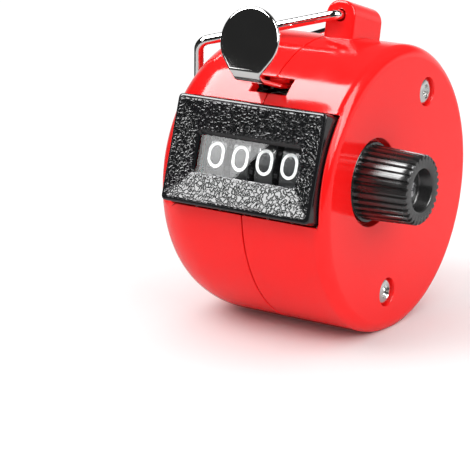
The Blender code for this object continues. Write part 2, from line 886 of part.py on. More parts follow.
def ribbed_knob():
    """The ribbed barrel: its outline drawn once, then drawn out in steps with a slight taper."""
    mesh = bpy.data.meshes.new("reset_knob")
    shape = bmesh.new()
    ribs_start = knob_start + knob_collar_length / 2
    corners = [shape.verts.new((a, b, ribs_start)) for a, b in knob_outline(knob_base_radius)]
    face = shape.faces.new(corners)
    sections = (
        (knob_tip - knob_end_chamfer, knob_end_radius),
        (knob_tip, knob_end_radius - knob_end_chamfer),
    )
    radius = knob_base_radius
    for height, next_radius in sections:
        last = face
        drawn = bmesh.ops.extrude_face_region(shape, geom=[last])["geom"]
        face = next(item for item in drawn if isinstance(item, bmesh.types.BMFace))
        if radius != knob_base_radius:
            bmesh.ops.delete(shape, geom=[last], context="FACES_ONLY")
        for vertex in face.verts:
            vertex.co.x *= next_radius / radius
            vertex.co.y *= next_radius / radius
            vertex.co.z = height
        radius = next_radius
    bmesh.ops.recalc_face_normals(shape, faces=shape.faces)
    shape.to_mesh(mesh)
    shape.free()
    return add_object("reset_knob", mesh, knob_black, **reset_axis)


reset_knob = ribbed_knob()
collar = rod("knob_collar", None, knob_collar_radius, knob_start, knob_start + knob_collar_length,
             steps=32, **reset_axis)
cavity = rod("knob_cavity", None, knob_cavity_radius, cavity_floor, knob_tip + overrun,
             steps=28, **reset_axis)
knob_bore = rod("knob_bore", None, shaft_radius + seat_gap, knob_start - overrun,
                cavity_floor - knob_floor, steps=20, **reset_axis)
knob_screw_hole = rod("knob_screw_hole", None, knob_screw_shank + running_gap,
                      shaft_tip - overrun, knob_tip, steps=12, **reset_axis)
join(reset_knob, collar)
for cutter in (cavity, knob_bore, knob_screw_hole):
    cut(reset_knob, cutter)


def pan_screw(name, head_radius, head_height, shank_radius, length, seat, **place):
    """A pan head on a shank, its head's underside at height seat."""
    crown = head_height / 2
    top = seat + head_height
    profile = (
        [(0, top)]
        + arc((head_radius - crown, top - crown), (crown, crown), math.pi / 2, 0, 3)
        + [(head_radius, seat), (shank_radius, seat), (shank_radius, seat - length), (0, seat - length)]
    )
    return turned(name, zinc_steel, profile, screw_steps, **place)


for label, (y, z) in screw_places.items():
    pan_screw("case_screw_" + label, case_screw_head, case_screw_head_height, case_screw_shank,
              case_screw_length, right_length - case_screw_sink - case_screw_head_height,
              location=(0, y, z), rotation=along_x)
pan_screw("knob_screw", knob_screw_head, knob_screw_head_height, knob_screw_shank,
          knob_screw_length, cavity_floor + side_gap, **reset_axis)

# Inner frame: two plates held apart by posts
frame_plate_outline = [in_case(shares) for shares in plate_outline_shares]
plate_holes = [
    circle((wheel_y, wheel_z), shaft_radius + running_gap),
    circle((pinion_y, wheel_z), pinion_shaft_radius + running_gap, 12),
    circle(post_places["upper"], stud_radius + running_gap, 12),
    circle(post_places["lower"], stud_radius + running_gap, 12),
    circle((-lever_pivot_forward, -lever_pivot_down), lever_pin_radius + running_gap, 12),
]
spring_slot_y = spring_leg_back - lever_pivot_forward
spring_slot_z = spring_leg_up - lever_pivot_down
spring_slot = [
    (spring_slot_y - spring_slot_width / 2, spring_slot_z - spring_slot_width / 2),
    (spring_slot_y + spring_slot_back, spring_slot_z - spring_slot_width / 2),
    (spring_slot_y + spring_slot_back, spring_slot_z + spring_slot_width / 2),
    (spring_slot_y - spring_slot_width / 2, spring_slot_z + spring_slot_width / 2),
]
plate_middle = (plate_inner + plate_outer) / 2
plate("right_frame_plate", zinc_steel, [frame_plate_outline] + plate_holes, plate_thickness,
      location=(plate_middle, 0, 0), rotation=across_x)
plate("left_frame_plate", zinc_steel, [frame_plate_outline] + plate_holes + [spring_slot],
      plate_thickness, location=(-plate_middle, 0, 0), rotation=across_x)
for label, (y, z) in post_places.items():
    shoulder = plate_inner - side_gap
    reach = plate_outer + stud_reach
    turned("frame_post_" + label, zinc_steel, [
        (0, reach), (stud_radius, reach), (stud_radius, shoulder), (post_radius, shoulder),
        (post_radius, -shoulder), (stud_radius, -shoulder), (stud_radius, -reach), (0, -reach),
    ], 12, location=(0, y, z), rotation=along_x)

# Thumb lever: a yoke of sheet metal round the wheels, hinged low in the case
lever_axis = frame_empty("lever_axis", case_frame, (0, -lever_pivot_forward, -lever_pivot_down))
strip_z = strip_up + lever_pivot_down
bend_y = lever_pivot_forward - strip_bend_forward
front_y = lever_pivot_forward - lever_front
disc_z = disc_up + lever_pivot_down


def web_point(run):
    """A point on the sloping web behind the strip, this far from the strip's inner bend."""
    return (bend_y + run * math.cos(web_slope), strip_z + run * math.sin(web_slope))


neck_top = (front_y - math.sin(disc_lean) * (disc_z - strip_z), disc_z)
strip_outline = bent_sheet(
    [web_point(web_end), (bend_y, strip_z), (front_y, strip_z), neck_top],
    [lever_corner_round, lever_corner_round], lever_thickness, 4)
web_half = arm_inner + arm_thickness / 2
thumb_lever = plate("thumb_lever", chrome, [strip_outline], 2 * web_half, parent=lever_axis,
                    rotation=across_x)
web_front = web_point(web_start)
web_rear = web_point(web_end)
for side, label in ((-1, "left"), (1, "right")):
    low, high = sorted((side * strip_width / 2, side * (web_half + overrun)))
    beside_strip = box("beside_strip_" + label, None,
                       (low, front_y - disc_radius, strip_z - lever_thickness),
                       (high, web_front[0], disc_z + disc_radius), parent=lever_axis)
    cut(thumb_lever, beside_strip)
arm_middle_z = lever_pivot_down + wheel_axis_up
arm_outline = (
    [(web_front[0] + side_gap, web_front[1]), (web_rear[0] - side_gap, web_rear[1])]
    + [(web_rear[0] + lever_thickness / 2, strip_z - lever_thickness)]
    + [(arm_width - arm_bow - lever_hub_radius + lever_thickness / 2, arm_middle_z)]
    + arc((0, 0), (lever_hub_radius, lever_hub_radius), math.radians(20), -math.radians(200), 10)
    + [(-arm_bow - lever_hub_radius + lever_thickness / 2, arm_middle_z)]
)
for side, label in ((-1, "left"), (1, "right")):
    x = side * (arm_inner + arm_thickness / 2)
    arm = plate("lever_arm_" + label, None, [arm_outline], arm_thickness, parent=lever_axis,
                location=(x, 0, 0), rotation=across_x)
    join(thumb_lever, arm)
disc_half = disc_thickness / 2
disc_profile = (
    [(0, disc_half)]
    + arc((disc_radius - disc_edge_round, disc_half - disc_edge_round),
          (disc_edge_round, disc_edge_round), math.pi / 2, 0, 2)
    + arc((disc_radius - disc_edge_round, disc_edge_round - disc_half),
          (disc_edge_round, disc_edge_round), 0, -math.pi / 2, 2)
    + [(0, -disc_half)]
)
thumb_disc = turned("thumb_disc", None, disc_profile, 32, parent=lever_axis,
                    location=(0, neck_top[0], disc_z), rotation=(math.pi / 2 + disc_lean, 0, 0))
join(thumb_lever, thumb_disc)
pivot_hole = rod("lever_pivot_hole", None, lever_pin_radius + running_gap, -plate_inner, plate_inner,
                 steps=12, parent=lever_axis, rotation=along_x)
pawl_nose_up = wheel_axis_up + ratchet_radius + pawl_nose_clear
pawl_z = lever_pivot_down + pawl_nose_up + pawl_drop
climb = (pawl_z - arm_middle_z) / (strip_z - arm_middle_z)
arm_middle_y = (lever_thickness + arm_width) / 2 - arm_bow - lever_hub_radius
arm_top_y = (web_front[0] + web_rear[0]) / 2
pawl_y = arm_middle_y + (arm_top_y - arm_middle_y) * climb - pawl_off_centre
rivet_hole = rod("pawl_rivet_hole", None, pawl_rivet_radius + running_gap, 0, plate_inner, steps=12,
                 parent=lever_axis, location=(0, pawl_y, pawl_z), rotation=along_x)
cut(thumb_lever, pivot_hole)
cut(thumb_lever, rivet_hole)

# Pivot pins, riveted in the plates and ending just inside the lever's arms
pin_inner = arm_inner - side_gap
spring_room = spring_turns * spring_pitch + 2 * running_gap
for side, label in ((-1, "left"), (1, "right")):
    pin_outer = plate_outer + (spring_room if side < 0 else side_gap)
    low, high = sorted((side * pin_inner, side * pin_outer))
    rod("lever_pivot_" + label, zinc_steel, lever_pin_radius, low, high, steps=12,
        location=(0, -lever_pivot_forward, -lever_pivot_down), rotation=along_x)


# Torsion spring on the left pivot
def return_spring_path():
    start_x = -plate_outer - running_gap - spring_wire
    count = round(spring_turns * 9)
    coil = []
    for i in range(count + 1):
        angle = -2 * math.pi * spring_turns * i / count
        coil.append((start_x - spring_pitch * spring_turns * i / count,
                     spring_radius * math.cos(angle), spring_radius * math.sin(angle)))
    end_x = coil[-1][0]
    moving_leg = [
        (-arm_inner, spring_leg_back, spring_leg_up),
        (start_x + spring_wire, spring_leg_back, spring_leg_up),
        (start_x, spring_leg_back, spring_leg_up - spring_wire),
    ]
    fixed_leg = [(end_x, spring_leg_rest, spring_radius)]
    return moving_leg + coil + fixed_leg


wire("lever_return_spring", spring_steel, return_spring_path(), spring_wire, 1,
     location=(0, -lever_pivot_forward, -lever_pivot_down))

# Drive pawl on the lever's right arm, its rivet and its leaf
pawl_axis = frame_empty("pawl_axis", lever_axis, (0, pawl_y, pawl_z))
nose_y = lever_pivot_forward - pawl_y - wheel_axis_forward - pawl_nose_ahead
nose_z = -pawl_drop
pawl_outline = (
    arc((0, 0), (pawl_hub_radius, pawl_hub_radius), math.radians(40), math.radians(260), 8)
    + [(nose_y - pawl_nose_height, nose_z), (nose_y, nose_z), (nose_y, nose_z + pawl_nose_height)]
)
pawl_end = arm_inner - 2 * seat_gap
plate("drive_pawl", zinc_steel, [pawl_outline, circle((0, 0), pawl_rivet_radius + running_gap, 10)],
      pawl_thickness, parent=pawl_axis, location=(pawl_end - pawl_thickness / 2, 0, 0),
      rotation=across_x)
rod("pawl_rivet", zinc_steel, pawl_rivet_radius, pawl_end - pawl_thickness,
    arm_inner + arm_thickness, steps=10, parent=lever_axis, location=(0, pawl_y, pawl_z),
    rotation=along_x)
leaf_start = (web_rear[0] - 2 * lever_thickness, web_rear[1] - 2 * lever_thickness - running_gap)
leaf_end = (pawl_y + nose_y / 2, pawl_z + pawl_nose_height + pawl_lift_room)
leaf_knee = (leaf_end[0] - pawl_nose_height, leaf_end[1] + pawl_nose_height)
leaf = bent_sheet([leaf_start, leaf_knee, leaf_end], [pawl_nose_height / 2], leaf_thickness, 3)
plate("pawl_spring", spring_steel, [leaf], pawl_thickness, parent=lever_axis,
      location=(pawl_end - pawl_thickness / 2, 0, 0), rotation=across_x)


# Detent leaf from the lower post to the ratchet
def detent_outline():
    post_y, post_z = post_places["lower"]
    grip = post_radius + running_gap
    start = (post_y - grip, post_z + post_radius)
    under = (wheel_y + ratchet_root, wheel_z - ratchet_radius - 3 * running_gap)
    tip = (wheel_y + ratchet_root / 3, wheel_z - ratchet_radius - running_gap)
    away = (wheel_y - ratchet_root / 4, wheel_z - ratchet_radius - 4 * running_gap)
    hook = (post_y - grip, post_z - post_radius)
    return bent_sheet([hook, start, under, tip, away],
                      [4 * leaf_thickness, leaf_thickness, leaf_thickness], leaf_thickness, 3)


plate("detent_spring", spring_steel, [detent_outline()], ratchet_thickness - side_gap,
      location=(ratchet_start + ratchet_thickness / 2, 0, 0), rotation=across_x)

# Finger ring: hinged in the lug, folded over to the left
ring_axis = frame_empty("ring_axis", lug_frame, (lug_middle, 0, ring_hole_up))


def ring_path():
    """One bent wire: in through the lug's front face, out and round, and back in behind."""
    lug_half = lug_depth / 2
    leg_start = lug_half + running_gap + ring_wire
    ring_run = left_length + ring_past_end + lug_middle
    drum_at_leg = math.sqrt(drum_radius ** 2 - ring_spread ** 2)
    ring_fall = ring_hole_up - drum_at_leg + ring_end_drop
    ring_fold = math.atan2(ring_fall, ring_run)
    leg_end = (-ring_run, -ring_fall)
    tip_turn = ring_fold + ring_bend
    tip = (leg_end[0] - ring_tip_length * math.cos(tip_turn),
           leg_end[1] - ring_tip_length * math.sin(tip_turn))
    front = [
        (0, ring_bite - lug_half, 0),
        (0, -leg_start, 0),
        (leg_end[0], -ring_spread, leg_end[1]),
        (tip[0], -ring_tip_half, tip[1]),
    ]
    back = [(x, -y, z) for x, y, z in reversed(front)]
    side_rounds = [ring_corner_round, ring_bend_round, ring_tip_round]
    return rounded_path(front + back, side_rounds + side_rounds[::-1], 4)


wire("finger_ring", chrome, ring_path(), ring_wire, 2, parent=ring_axis)

for made in parts.objects:
    if made.type == "MESH" and not made.modifiers:
        made.data.shade_smooth()
        made.data.set_sharp_from_angle(angle=math.radians(35))
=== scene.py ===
# %% [markdown]
# A hand tally counter: a red round case, a black grained display frame, four number wheels,
# a chromed thumb lever, a ribbed reset knob and a bent wire finger ring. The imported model
# gives every piece its place, and this script dresses it for the camera.

# %% Load the frame
import math
from functools import partial

import bmesh
import bpy
from mathutils import Matrix, Vector


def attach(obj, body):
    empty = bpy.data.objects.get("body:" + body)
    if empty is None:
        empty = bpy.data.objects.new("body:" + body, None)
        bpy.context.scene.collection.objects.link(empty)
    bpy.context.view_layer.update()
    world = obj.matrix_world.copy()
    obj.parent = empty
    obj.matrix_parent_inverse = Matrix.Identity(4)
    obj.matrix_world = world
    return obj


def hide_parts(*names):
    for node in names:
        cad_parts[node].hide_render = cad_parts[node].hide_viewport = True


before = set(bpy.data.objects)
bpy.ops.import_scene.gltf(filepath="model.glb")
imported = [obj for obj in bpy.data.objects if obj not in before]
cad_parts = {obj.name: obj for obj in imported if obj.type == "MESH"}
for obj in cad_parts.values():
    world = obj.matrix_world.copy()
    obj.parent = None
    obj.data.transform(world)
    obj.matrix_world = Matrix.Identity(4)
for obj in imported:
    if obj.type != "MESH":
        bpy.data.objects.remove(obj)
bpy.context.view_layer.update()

# %% [markdown]
# The case is a drum that leans back on a narrow flat. Every size below belongs to the drum's
# own frame, with X along its axis and -Y out of the display. One matrix then leans a finished
# mesh back and puts it in its place, so the object itself stays at the origin.

# %% Sizes of the case and its frames
drum_radius = 0.0230
case_wall = 0.0018
right_length = 0.0148
left_length = 0.0185
right_round = 0.0021
left_round_length = 0.0095
left_round_depth = 0.0070
seam_half = 0.0001
seat_gap = 0.0002
side_gap = 0.00015
running_gap = 0.0003
rest_land_width = 0.0100
case_lean = math.radians(18.5)
lug_lean = math.radians(6.5)
inner_radius = drum_radius - case_wall
seam_x = (left_length - right_length) / 2
axis_height = math.sqrt(drum_radius ** 2 - (rest_land_width / 2) ** 2)
case_place = Matrix.Translation((seam_x, 0, axis_height)) @ Matrix.Rotation(-case_lean, 4, "X")
lug_place = case_place @ Matrix.Rotation(lug_lean, 4, "X")
from_lug = case_place.inverted() @ lug_place
wheel_y = -0.0089
wheel_z = 0.0004
wheel_axis = (wheel_y, wheel_z)
print("drum axis height:", round(axis_height * 1000, 3), "mm")

# %% [markdown]
# Most pieces here start as a mesh in code. A turned shape is a short profile swung round a
# line along X. One many-sided face closes each end of an open profile, because a Boolean cuts
# such a face more cleanly than a fan of thin triangles. The first point of a turned shape
# lies a part of a step round, so that no edge of it runs along a flat cut.

# %% Helpers that make meshes
first_step = 0.37


def shape_to_mesh(shape):
    mesh = bpy.data.meshes.new("shape")
    shape.to_mesh(mesh)
    shape.free()
    return mesh


def closed_mesh(shape):
    """The shape as a mesh, with its faces turned outward."""
    bmesh.ops.recalc_face_normals(shape, faces=shape.faces)
    return shape_to_mesh(shape)


def join_rings(shape, rings, closed=False):
    """Quads between neighbouring rings of points; a flat face closes each open end."""
    following = rings[1:] + rings[:1] if closed else rings[1:]
    for low, high in zip(rings, following):
        for i in range(len(low)):
            j = (i + 1) % len(low)
            shape.faces.new((low[i], low[j], high[j], high[i]))
    if not closed:
        shape.faces.new(rings[0])
        shape.faces.new(rings[-1])


def turned(profile, steps, closed=False, y=0.0, z=0.0):
    """A profile of (radius, x) points turned about a line along X through y and z."""
    shape = bmesh.new()
    turns = [2 * math.pi * (i + first_step) / steps for i in range(steps)]
    rings = [[shape.verts.new((x, y + radius * math.cos(a), z + radius * math.sin(a))) for a in turns]
             for radius, x in profile]
    join_rings(shape, rings, closed)
    return closed_mesh(shape)


def rods(radius, low, high, steps, places):
    """Rods along X, one through each (y, z) place."""
    return [turned([(radius, low), (radius, high)], steps, y=y, z=z) for y, z in places]


def box(low, high):
    shape = bmesh.new()
    bmesh.ops.create_cube(shape, size=1.0)
    for vertex in shape.verts:
        for axis in range(3):
            middle = (low[axis] + high[axis]) / 2
            vertex.co[axis] = middle + vertex.co[axis] * (high[axis] - low[axis])
    return closed_mesh(shape)


def plate(outline, low, high, holes):
    """An outline of (y, z) points made thick along X, with round holes (y, z, radius)."""
    shape = bmesh.new()
    join_rings(shape, [[shape.verts.new((x, a, b)) for a, b in outline] for x in (low, high)])
    span = high - low
    drills = [rods(radius, low - span, high + span, 24, [(y, z)])[0] for y, z, radius in holes]
    return carved(closed_mesh(shape), cut_away=drills)


def arc(centre, radii, start, end, steps):
    """Points on part of an ellipse, with the angles in degrees."""
    turns = [math.radians(start + (end - start) * i / steps) for i in range(steps + 1)]
    return [(centre[0] + radii[0] * math.cos(a), centre[1] + radii[1] * math.sin(a)) for a in turns]


# %% Helpers that finish meshes
def plain_object(data, name="helper"):
    made = bpy.data.objects.new(name, data)
    bpy.context.scene.collection.objects.link(made)
    return made


def as_plain_mesh(made):
    """The object's mesh with its modifiers applied; the object goes."""
    bpy.context.view_layer.update()
    seen = made.evaluated_get(bpy.context.evaluated_depsgraph_get())
    mesh = bpy.data.meshes.new_from_object(seen)
    bpy.data.objects.remove(made, do_unlink=True)
    return mesh


def carved(base, joined=(), cut_away=()):
    """Add closed shapes to a base, then cut others from it."""
    holder = plain_object(base)
    tools = []
    for meshes, operation in ((joined, "UNION"), (cut_away, "DIFFERENCE")):
        for mesh in meshes:
            tool = plain_object(mesh)
            tools.append(tool)
            step = holder.modifiers.new(operation, "BOOLEAN")
            step.operation = operation
            step.object = tool
            step.solver = "EXACT"
    mesh = as_plain_mesh(holder)
    for tool in tools:
        bpy.data.objects.remove(tool, do_unlink=True)
    return mesh


def together(meshes):
    """Several closed meshes as one."""
    shape = bmesh.new()
    for mesh in meshes:
        shape.from_mesh(mesh)
    return shape_to_mesh(shape)


def soften(made, width, segments, angle, clamp=False):
    """A rounding along every edge that is sharper than an angle in degrees."""
    soft = made.modifiers.new("Soft edges", "BEVEL")
    soft.width = width
    soft.segments = segments
    soft.limit_method = "ANGLE"
    soft.angle_limit = math.radians(angle)
    soft.use_clamp_overlap = clamp


def piece(name, mesh, coat, body, replaces=(), place=case_place, edge=0.0, angle=35.0):
    """Put a finished mesh in the scene: softened edges, smooth shading, a material and a body."""
    mesh.transform(place)
    mesh.materials.clear()
    mesh.materials.append(coat)
    mesh.shade_smooth()
    mesh.set_sharp_from_angle(angle=math.radians(angle))
    rough = plain_object(mesh)
    if edge > 0:
        soften(rough, edge, 2, angle)
    even = rough.modifiers.new("Even shading", "WEIGHTED_NORMAL")
    even.keep_sharp = True
    finished = as_plain_mesh(rough)
    finished.name = name
    made = plain_object(finished, name)
    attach(made, body)
    if replaces:
        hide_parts(*replaces)
    print(name, "faces:", len(finished.polygons))


# %% [markdown]
# Node trees are built in code all through this script, so three small helpers write them. One
# adds a node and fills its inputs, one does a sum, and one starts a tree with named inputs.

# %% Helpers that build node trees
number_sockets = {float: "NodeSocketFloat", int: "NodeSocketInt"}


def connect(tree, node, inputs):
    """Fill a node's inputs: another node's socket is linked, and anything else is the value."""
    for name, value in inputs.items():
        if isinstance(value, bpy.types.NodeSocket):
            tree.links.new(value, node.inputs[name])
        else:
            node.inputs[name].default_value = value


def add_node(tree, kind, inputs=None, **settings):
    """A new node with its own settings and its inputs filled."""
    node = tree.nodes.new(kind)
    for name, value in settings.items():
        setattr(node, name, value)
    connect(tree, node, inputs or {})
    return node


def calculate(tree, operation, *values):
    """The result of one Math node. Each value is a number or another node's socket."""
    return add_node(tree, "ShaderNodeMath", dict(enumerate(values)), operation=operation).outputs[0]


def new_tree(name, kind, inputs, output, output_kind):
    """A tree, its input sockets and its output node.

    Each input is given by its first value, or by its kind of socket where it has none.
    """
    tree = bpy.data.node_groups.new(name, kind)
    for label, value in inputs.items():
        bare = isinstance(value, str)
        socket_kind = value if bare else number_sockets[type(value)]
        made = tree.interface.new_socket(name=label, in_out="INPUT", socket_type=socket_kind)
        if not bare:
            made.default_value = value
    tree.interface.new_socket(name=output, in_out="OUTPUT", socket_type=output_kind)
    return tree, add_node(tree, "NodeGroupInput").outputs, add_node(tree, "NodeGroupOutput")


# %% [markdown]
# Shader node groups hold the effects that several finishes share. The first gives a slow
# change of roughness, as handling and moulding leave on any surface. The second gives a fine
# bump, such as the slight waviness of moulded plastic or the drawn look of wire. Both read
# Object coordinates, so a pattern stays on its piece when a joint moves.

# %% Shared shader groups
drift_scale = 300.0


def uneven_group():
    """A value that drifts between Low and High over the surface."""
    tree, given, result = new_tree("uneven_value", "ShaderNodeTree", {
        "Scale": drift_scale, "Low": 0.2, "High": 0.3}, "Value", "NodeSocketFloat")
    place = add_node(tree, "ShaderNodeTexCoord")
    clouds = add_node(tree, "ShaderNodeTexNoise", {
        "Vector": place.outputs["Object"], "Scale": given["Scale"], "Detail": 4.0})
    spread = add_node(tree, "ShaderNodeMapRange", {
        "Value": clouds.outputs["Fac"], "From Min": 0.3, "From Max": 0.7,
        "To Min": given["Low"], "To Max": given["High"]})
    connect(tree, result, {"Value": spread.outputs["Result"]})
    return tree


def ripple_group():
    """A bumped normal from fine noise."""
    tree, given, result = new_tree("fine_ripple", "ShaderNodeTree", {
        "Scale": 900.0, "Strength": 0.1, "Depth": 0.00005}, "Normal", "NodeSocketVector")
    place = add_node(tree, "ShaderNodeTexCoord")
    noise = add_node(tree, "ShaderNodeTexNoise", {
        "Vector": place.outputs["Object"], "Scale": given["Scale"], "Detail": 3.0})
    bump = add_node(tree, "ShaderNodeBump", {
        "Height": noise.outputs["Fac"], "Strength": given["Strength"], "Distance": given["Depth"]})
    connect(tree, result, {"Normal": bump.outputs["Normal"]})
    return tree


uneven_value = uneven_group()
fine_ripple = ripple_group()
print("shader groups:", uneven_value.name, fine_ripple.name)


# %% A finish built from the groups
def finish(name, color, rough, metallic=0.0, ripple=(900.0, 0.1, 0.00005), **sockets):
    """A Principled material with a drifting roughness and a fine ripple.

    rough is its lowest and highest roughness, and ripple is its scale, strength and depth.
    Other sockets are given by name, with _ for a space.
    """
    made = bpy.data.materials.new(name)
    made.use_nodes = True
    tree = made.node_tree
    uneven = add_node(tree, "ShaderNodeGroup", {
        "Scale": drift_scale, "Low": rough[0], "High": rough[1]}, node_tree=uneven_value)
    wavy = add_node(tree, "ShaderNodeGroup", dict(zip(("Scale", "Strength", "Depth"), ripple)),
                    node_tree=fine_ripple)
    own = {socket.replace("_", " "): value for socket, value in sockets.items()}
    connect(tree, tree.nodes["Principled BSDF"], {
        "Base Color": (*color, 1.0), "Metallic": metallic, **own,
        "Roughness": uneven.outputs["Value"], "Normal": wavy.outputs["Normal"]})
    return made


red_gloss = finish("red_gloss_plastic", (0.89, 0.010, 0.010), (0.09, 0.15),
                   ripple=(160.0, 0.10, 0.0002), Specular_IOR_Level=0.42)
wheel_black = finish("wheel_black", (0.030, 0.030, 0.031), (0.20, 0.28), Specular_IOR_Level=0.8)
digit_white = finish("digit_white", (0.95, 0.95, 0.94), (0.40, 0.55))
chrome = finish("chrome_plate", (0.86, 0.86, 0.85), (0.03, 0.07), metallic=1.0,
                ripple=(220.0, 0.02, 0.00005))
knob_black = finish("knob_black", (0.016, 0.016, 0.016), (0.20, 0.30),
                    ripple=(1400.0, 0.12, 0.00003), Specular_IOR_Level=1.0)
zinc = finish("zinc_plate", (0.62, 0.63, 0.65), (0.22, 0.38), metallic=1.0,
              ripple=(1800.0, 0.2, 0.00003))
screw_plate = finish("bright_screw_plate", (0.80, 0.80, 0.79), (0.14, 0.26), metallic=1.0,
                     ripple=(1500.0, 0.15, 0.00003))
dark_steel = finish("dark_steel", (0.48, 0.48, 0.49), (0.20, 0.32), metallic=1.0)
spring_wire_finish = finish("spring_wire", (0.42, 0.42, 0.44), (0.24, 0.36), metallic=1.0)
nylon = finish("natural_nylon", (0.80, 0.79, 0.74), (0.42, 0.56), Subsurface_Weight=0.2)
print("finishes:", len(bpy.data.materials))

# %% [markdown]
# The display frame is moulded with a leather grain, small rounded pebbles with narrow valleys.
# Two clouds of noise cross their middle value along winding lines, and those lines are pressed
# in as the valleys. A number kept on the frame's own points says how much grain there is, so
# the rim and the window's edge stay smooth.

# %% The grained finish of the display frame
grain_scale, grain_depth, valley_width = 1250.0, 0.00009, 0.075


def grained_black():
    made = finish("black_leather_grain", (0.008, 0.008, 0.009), (0.11, 0.16), Specular_IOR_Level=0.62)
    tree = made.node_tree
    place = add_node(tree, "ShaderNodeTexCoord")
    clouds = add_node(tree, "ShaderNodeTexNoise", {
        "Vector": place.outputs["Object"], "Scale": grain_scale, "Detail": 0.5})
    away = add_node(tree, "ShaderNodeVectorMath", {
        0: clouds.outputs["Color"], 1: (0.5, 0.5, 0.5)}, operation="SUBTRACT")
    size = add_node(tree, "ShaderNodeVectorMath", {0: away.outputs["Vector"]}, operation="ABSOLUTE")
    two = add_node(tree, "ShaderNodeSeparateXYZ", {"Vector": size.outputs["Vector"]})
    nearer = calculate(tree, "MINIMUM", two.outputs["X"], two.outputs["Y"])
    pebbles = add_node(tree, "ShaderNodeMapRange", {"Value": nearer, "From Max": valley_width},
                       interpolation_type="SMOOTHSTEP")
    mask = add_node(tree, "ShaderNodeAttribute", attribute_name="grain")
    height = calculate(tree, "MULTIPLY", pebbles.outputs["Result"], mask.outputs["Fac"])
    bump = add_node(tree, "ShaderNodeBump", {"Height": height, "Strength": 0.9, "Distance": grain_depth})
    connect(tree, tree.nodes["Principled BSDF"], {"Normal": bump.outputs["Normal"]})
    return made


grain_black = grained_black()
print("grain depth:", grain_depth * 1000, "mm")

# %% [markdown]
# The window is clear moulded plastic, so it refracts. Lamp light that has to refract on its
# way to the wheels would come out as bright specks, and most of it would be lost. For a
# lamp's shadow rays alone the plastic is simply see-through, a little tinted.

# %% The clear window's finish
def clear_plastic():
    made = finish("clear_window", (0.97, 0.98, 0.98), (0.0, 0.015), ripple=(90.0, 0.01, 0.0001),
                  IOR=1.49, Transmission_Weight=1.0)
    tree = made.node_tree
    path = add_node(tree, "ShaderNodeLightPath")
    through = add_node(tree, "ShaderNodeBsdfTransparent", {"Color": (0.90, 0.91, 0.91, 1.0)})
    choice = add_node(tree, "ShaderNodeMixShader", {
        "Fac": path.outputs["Is Shadow Ray"], 1: tree.nodes["Principled BSDF"].outputs["BSDF"],
        2: through.outputs["BSDF"]})
    connect(tree, tree.nodes["Material Output"], {"Surface": choice.outputs["Shader"]})
    return made


window_clear = clear_plastic()
print("window finish:", window_clear.name)

# %% [markdown]
# The case has two turned shells that meet at a fine seam. Each is swung from its profile with
# many steps, so the gloss runs smoothly, and the openings are cut afterwards. The sharp edges
# that the cuts leave get a narrow rounding, which catches the light as a moulded edge does.

# %% Profiles of the shells
drum_steps = 176
right_corner = (drum_radius - right_round, right_length - right_round)
right_outer = (right_round, right_round)
right_inner = (right_round - case_wall, right_round - case_wall)
right_profile = (
    arc(right_corner, right_outer, 90, 0, 10)
    + [(drum_radius, seam_half), (inner_radius, seam_half)]
    + arc(right_corner, right_inner, 0, 90, 2)
)
left_corner = (drum_radius - left_round_depth, left_round_length - left_length)
left_outer = (left_round_depth, left_round_length)
left_inner = (left_round_depth - case_wall, left_round_length - case_wall)
lip_outer = inner_radius - seat_gap
lip_wall = 0.0008
lip_inner = lip_outer - lip_wall
lip_end = 0.0010
lip_root = -0.0020
wall_end = -0.0030
left_profile = (
    arc(left_corner, left_inner, -90, 0, 10)
    + [(inner_radius, wall_end), (lip_inner, lip_root), (lip_inner, lip_end), (lip_outer, lip_end)]
    + [(lip_outer, -seam_half), (drum_radius, -seam_half)]
    + arc(left_corner, left_outer, 0, -90, 18)
)
right_turned = turned(right_profile, drum_steps)
left_turned = turned(left_profile, drum_steps)
print("turned faces:", len(right_turned.polygons), len(left_turned.polygons))

# %% Openings that both shells have
bezel_width = 0.0268
bezel_height = 0.0168
bezel_raise = 0.00055
bezel_front = 0.0243
bezel_depth = 0.0047
bezel_back = bezel_front - bezel_depth
bezel_low = bezel_raise - bezel_height / 2
bezel_high = bezel_raise + bezel_height / 2
slot_half = 0.0033
slot_low = 0.0110
slot_high = 0.01375
slot_inside = -0.0160
slot_outside = -0.030
floor_cut = [(-0.030, -0.040, -0.010), (0.030, 0.040, 0.0)]
past_surface = 0.002


def shared_cuts():
    """The display frame's opening, the lever's slot and the flat below."""
    half = bezel_width / 2 + seat_gap
    opening = box((-half, -bezel_front - past_surface, bezel_low - seat_gap),
                  (half, seat_gap - bezel_back + case_wall, bezel_high + seat_gap))
    slot = box((-slot_half, slot_outside, slot_low), (slot_half, slot_inside, slot_high))
    land = box(*floor_cut)
    land.transform(case_place.inverted() @ Matrix.Translation((seam_x, 0, 0)))
    return [opening, slot, land]


print("lever slot:", round(2 * slot_half * 1000, 2), "mm wide")

# %% [markdown]
# The lug on top holds the finger ring. It belongs to the right shell and stands a little
# turned against the rest of the case. Its arch is an outline drawn out along Y, and a bevel
# rounds its edges before it is joined to the drum, as the mould does.

# %% The lug that holds the ring
lug_left = seam_half + 0.0001
lug_width = 0.0053
lug_half = 0.00465
lug_foot = 0.0213
lug_top = 0.0287
lug_crown = 0.0023
lug_fall = 0.0009
lug_edge = 0.0005
hinge_radius = 0.0010
hinge_place = Matrix.Translation((0.00285, 0, 0.0263))


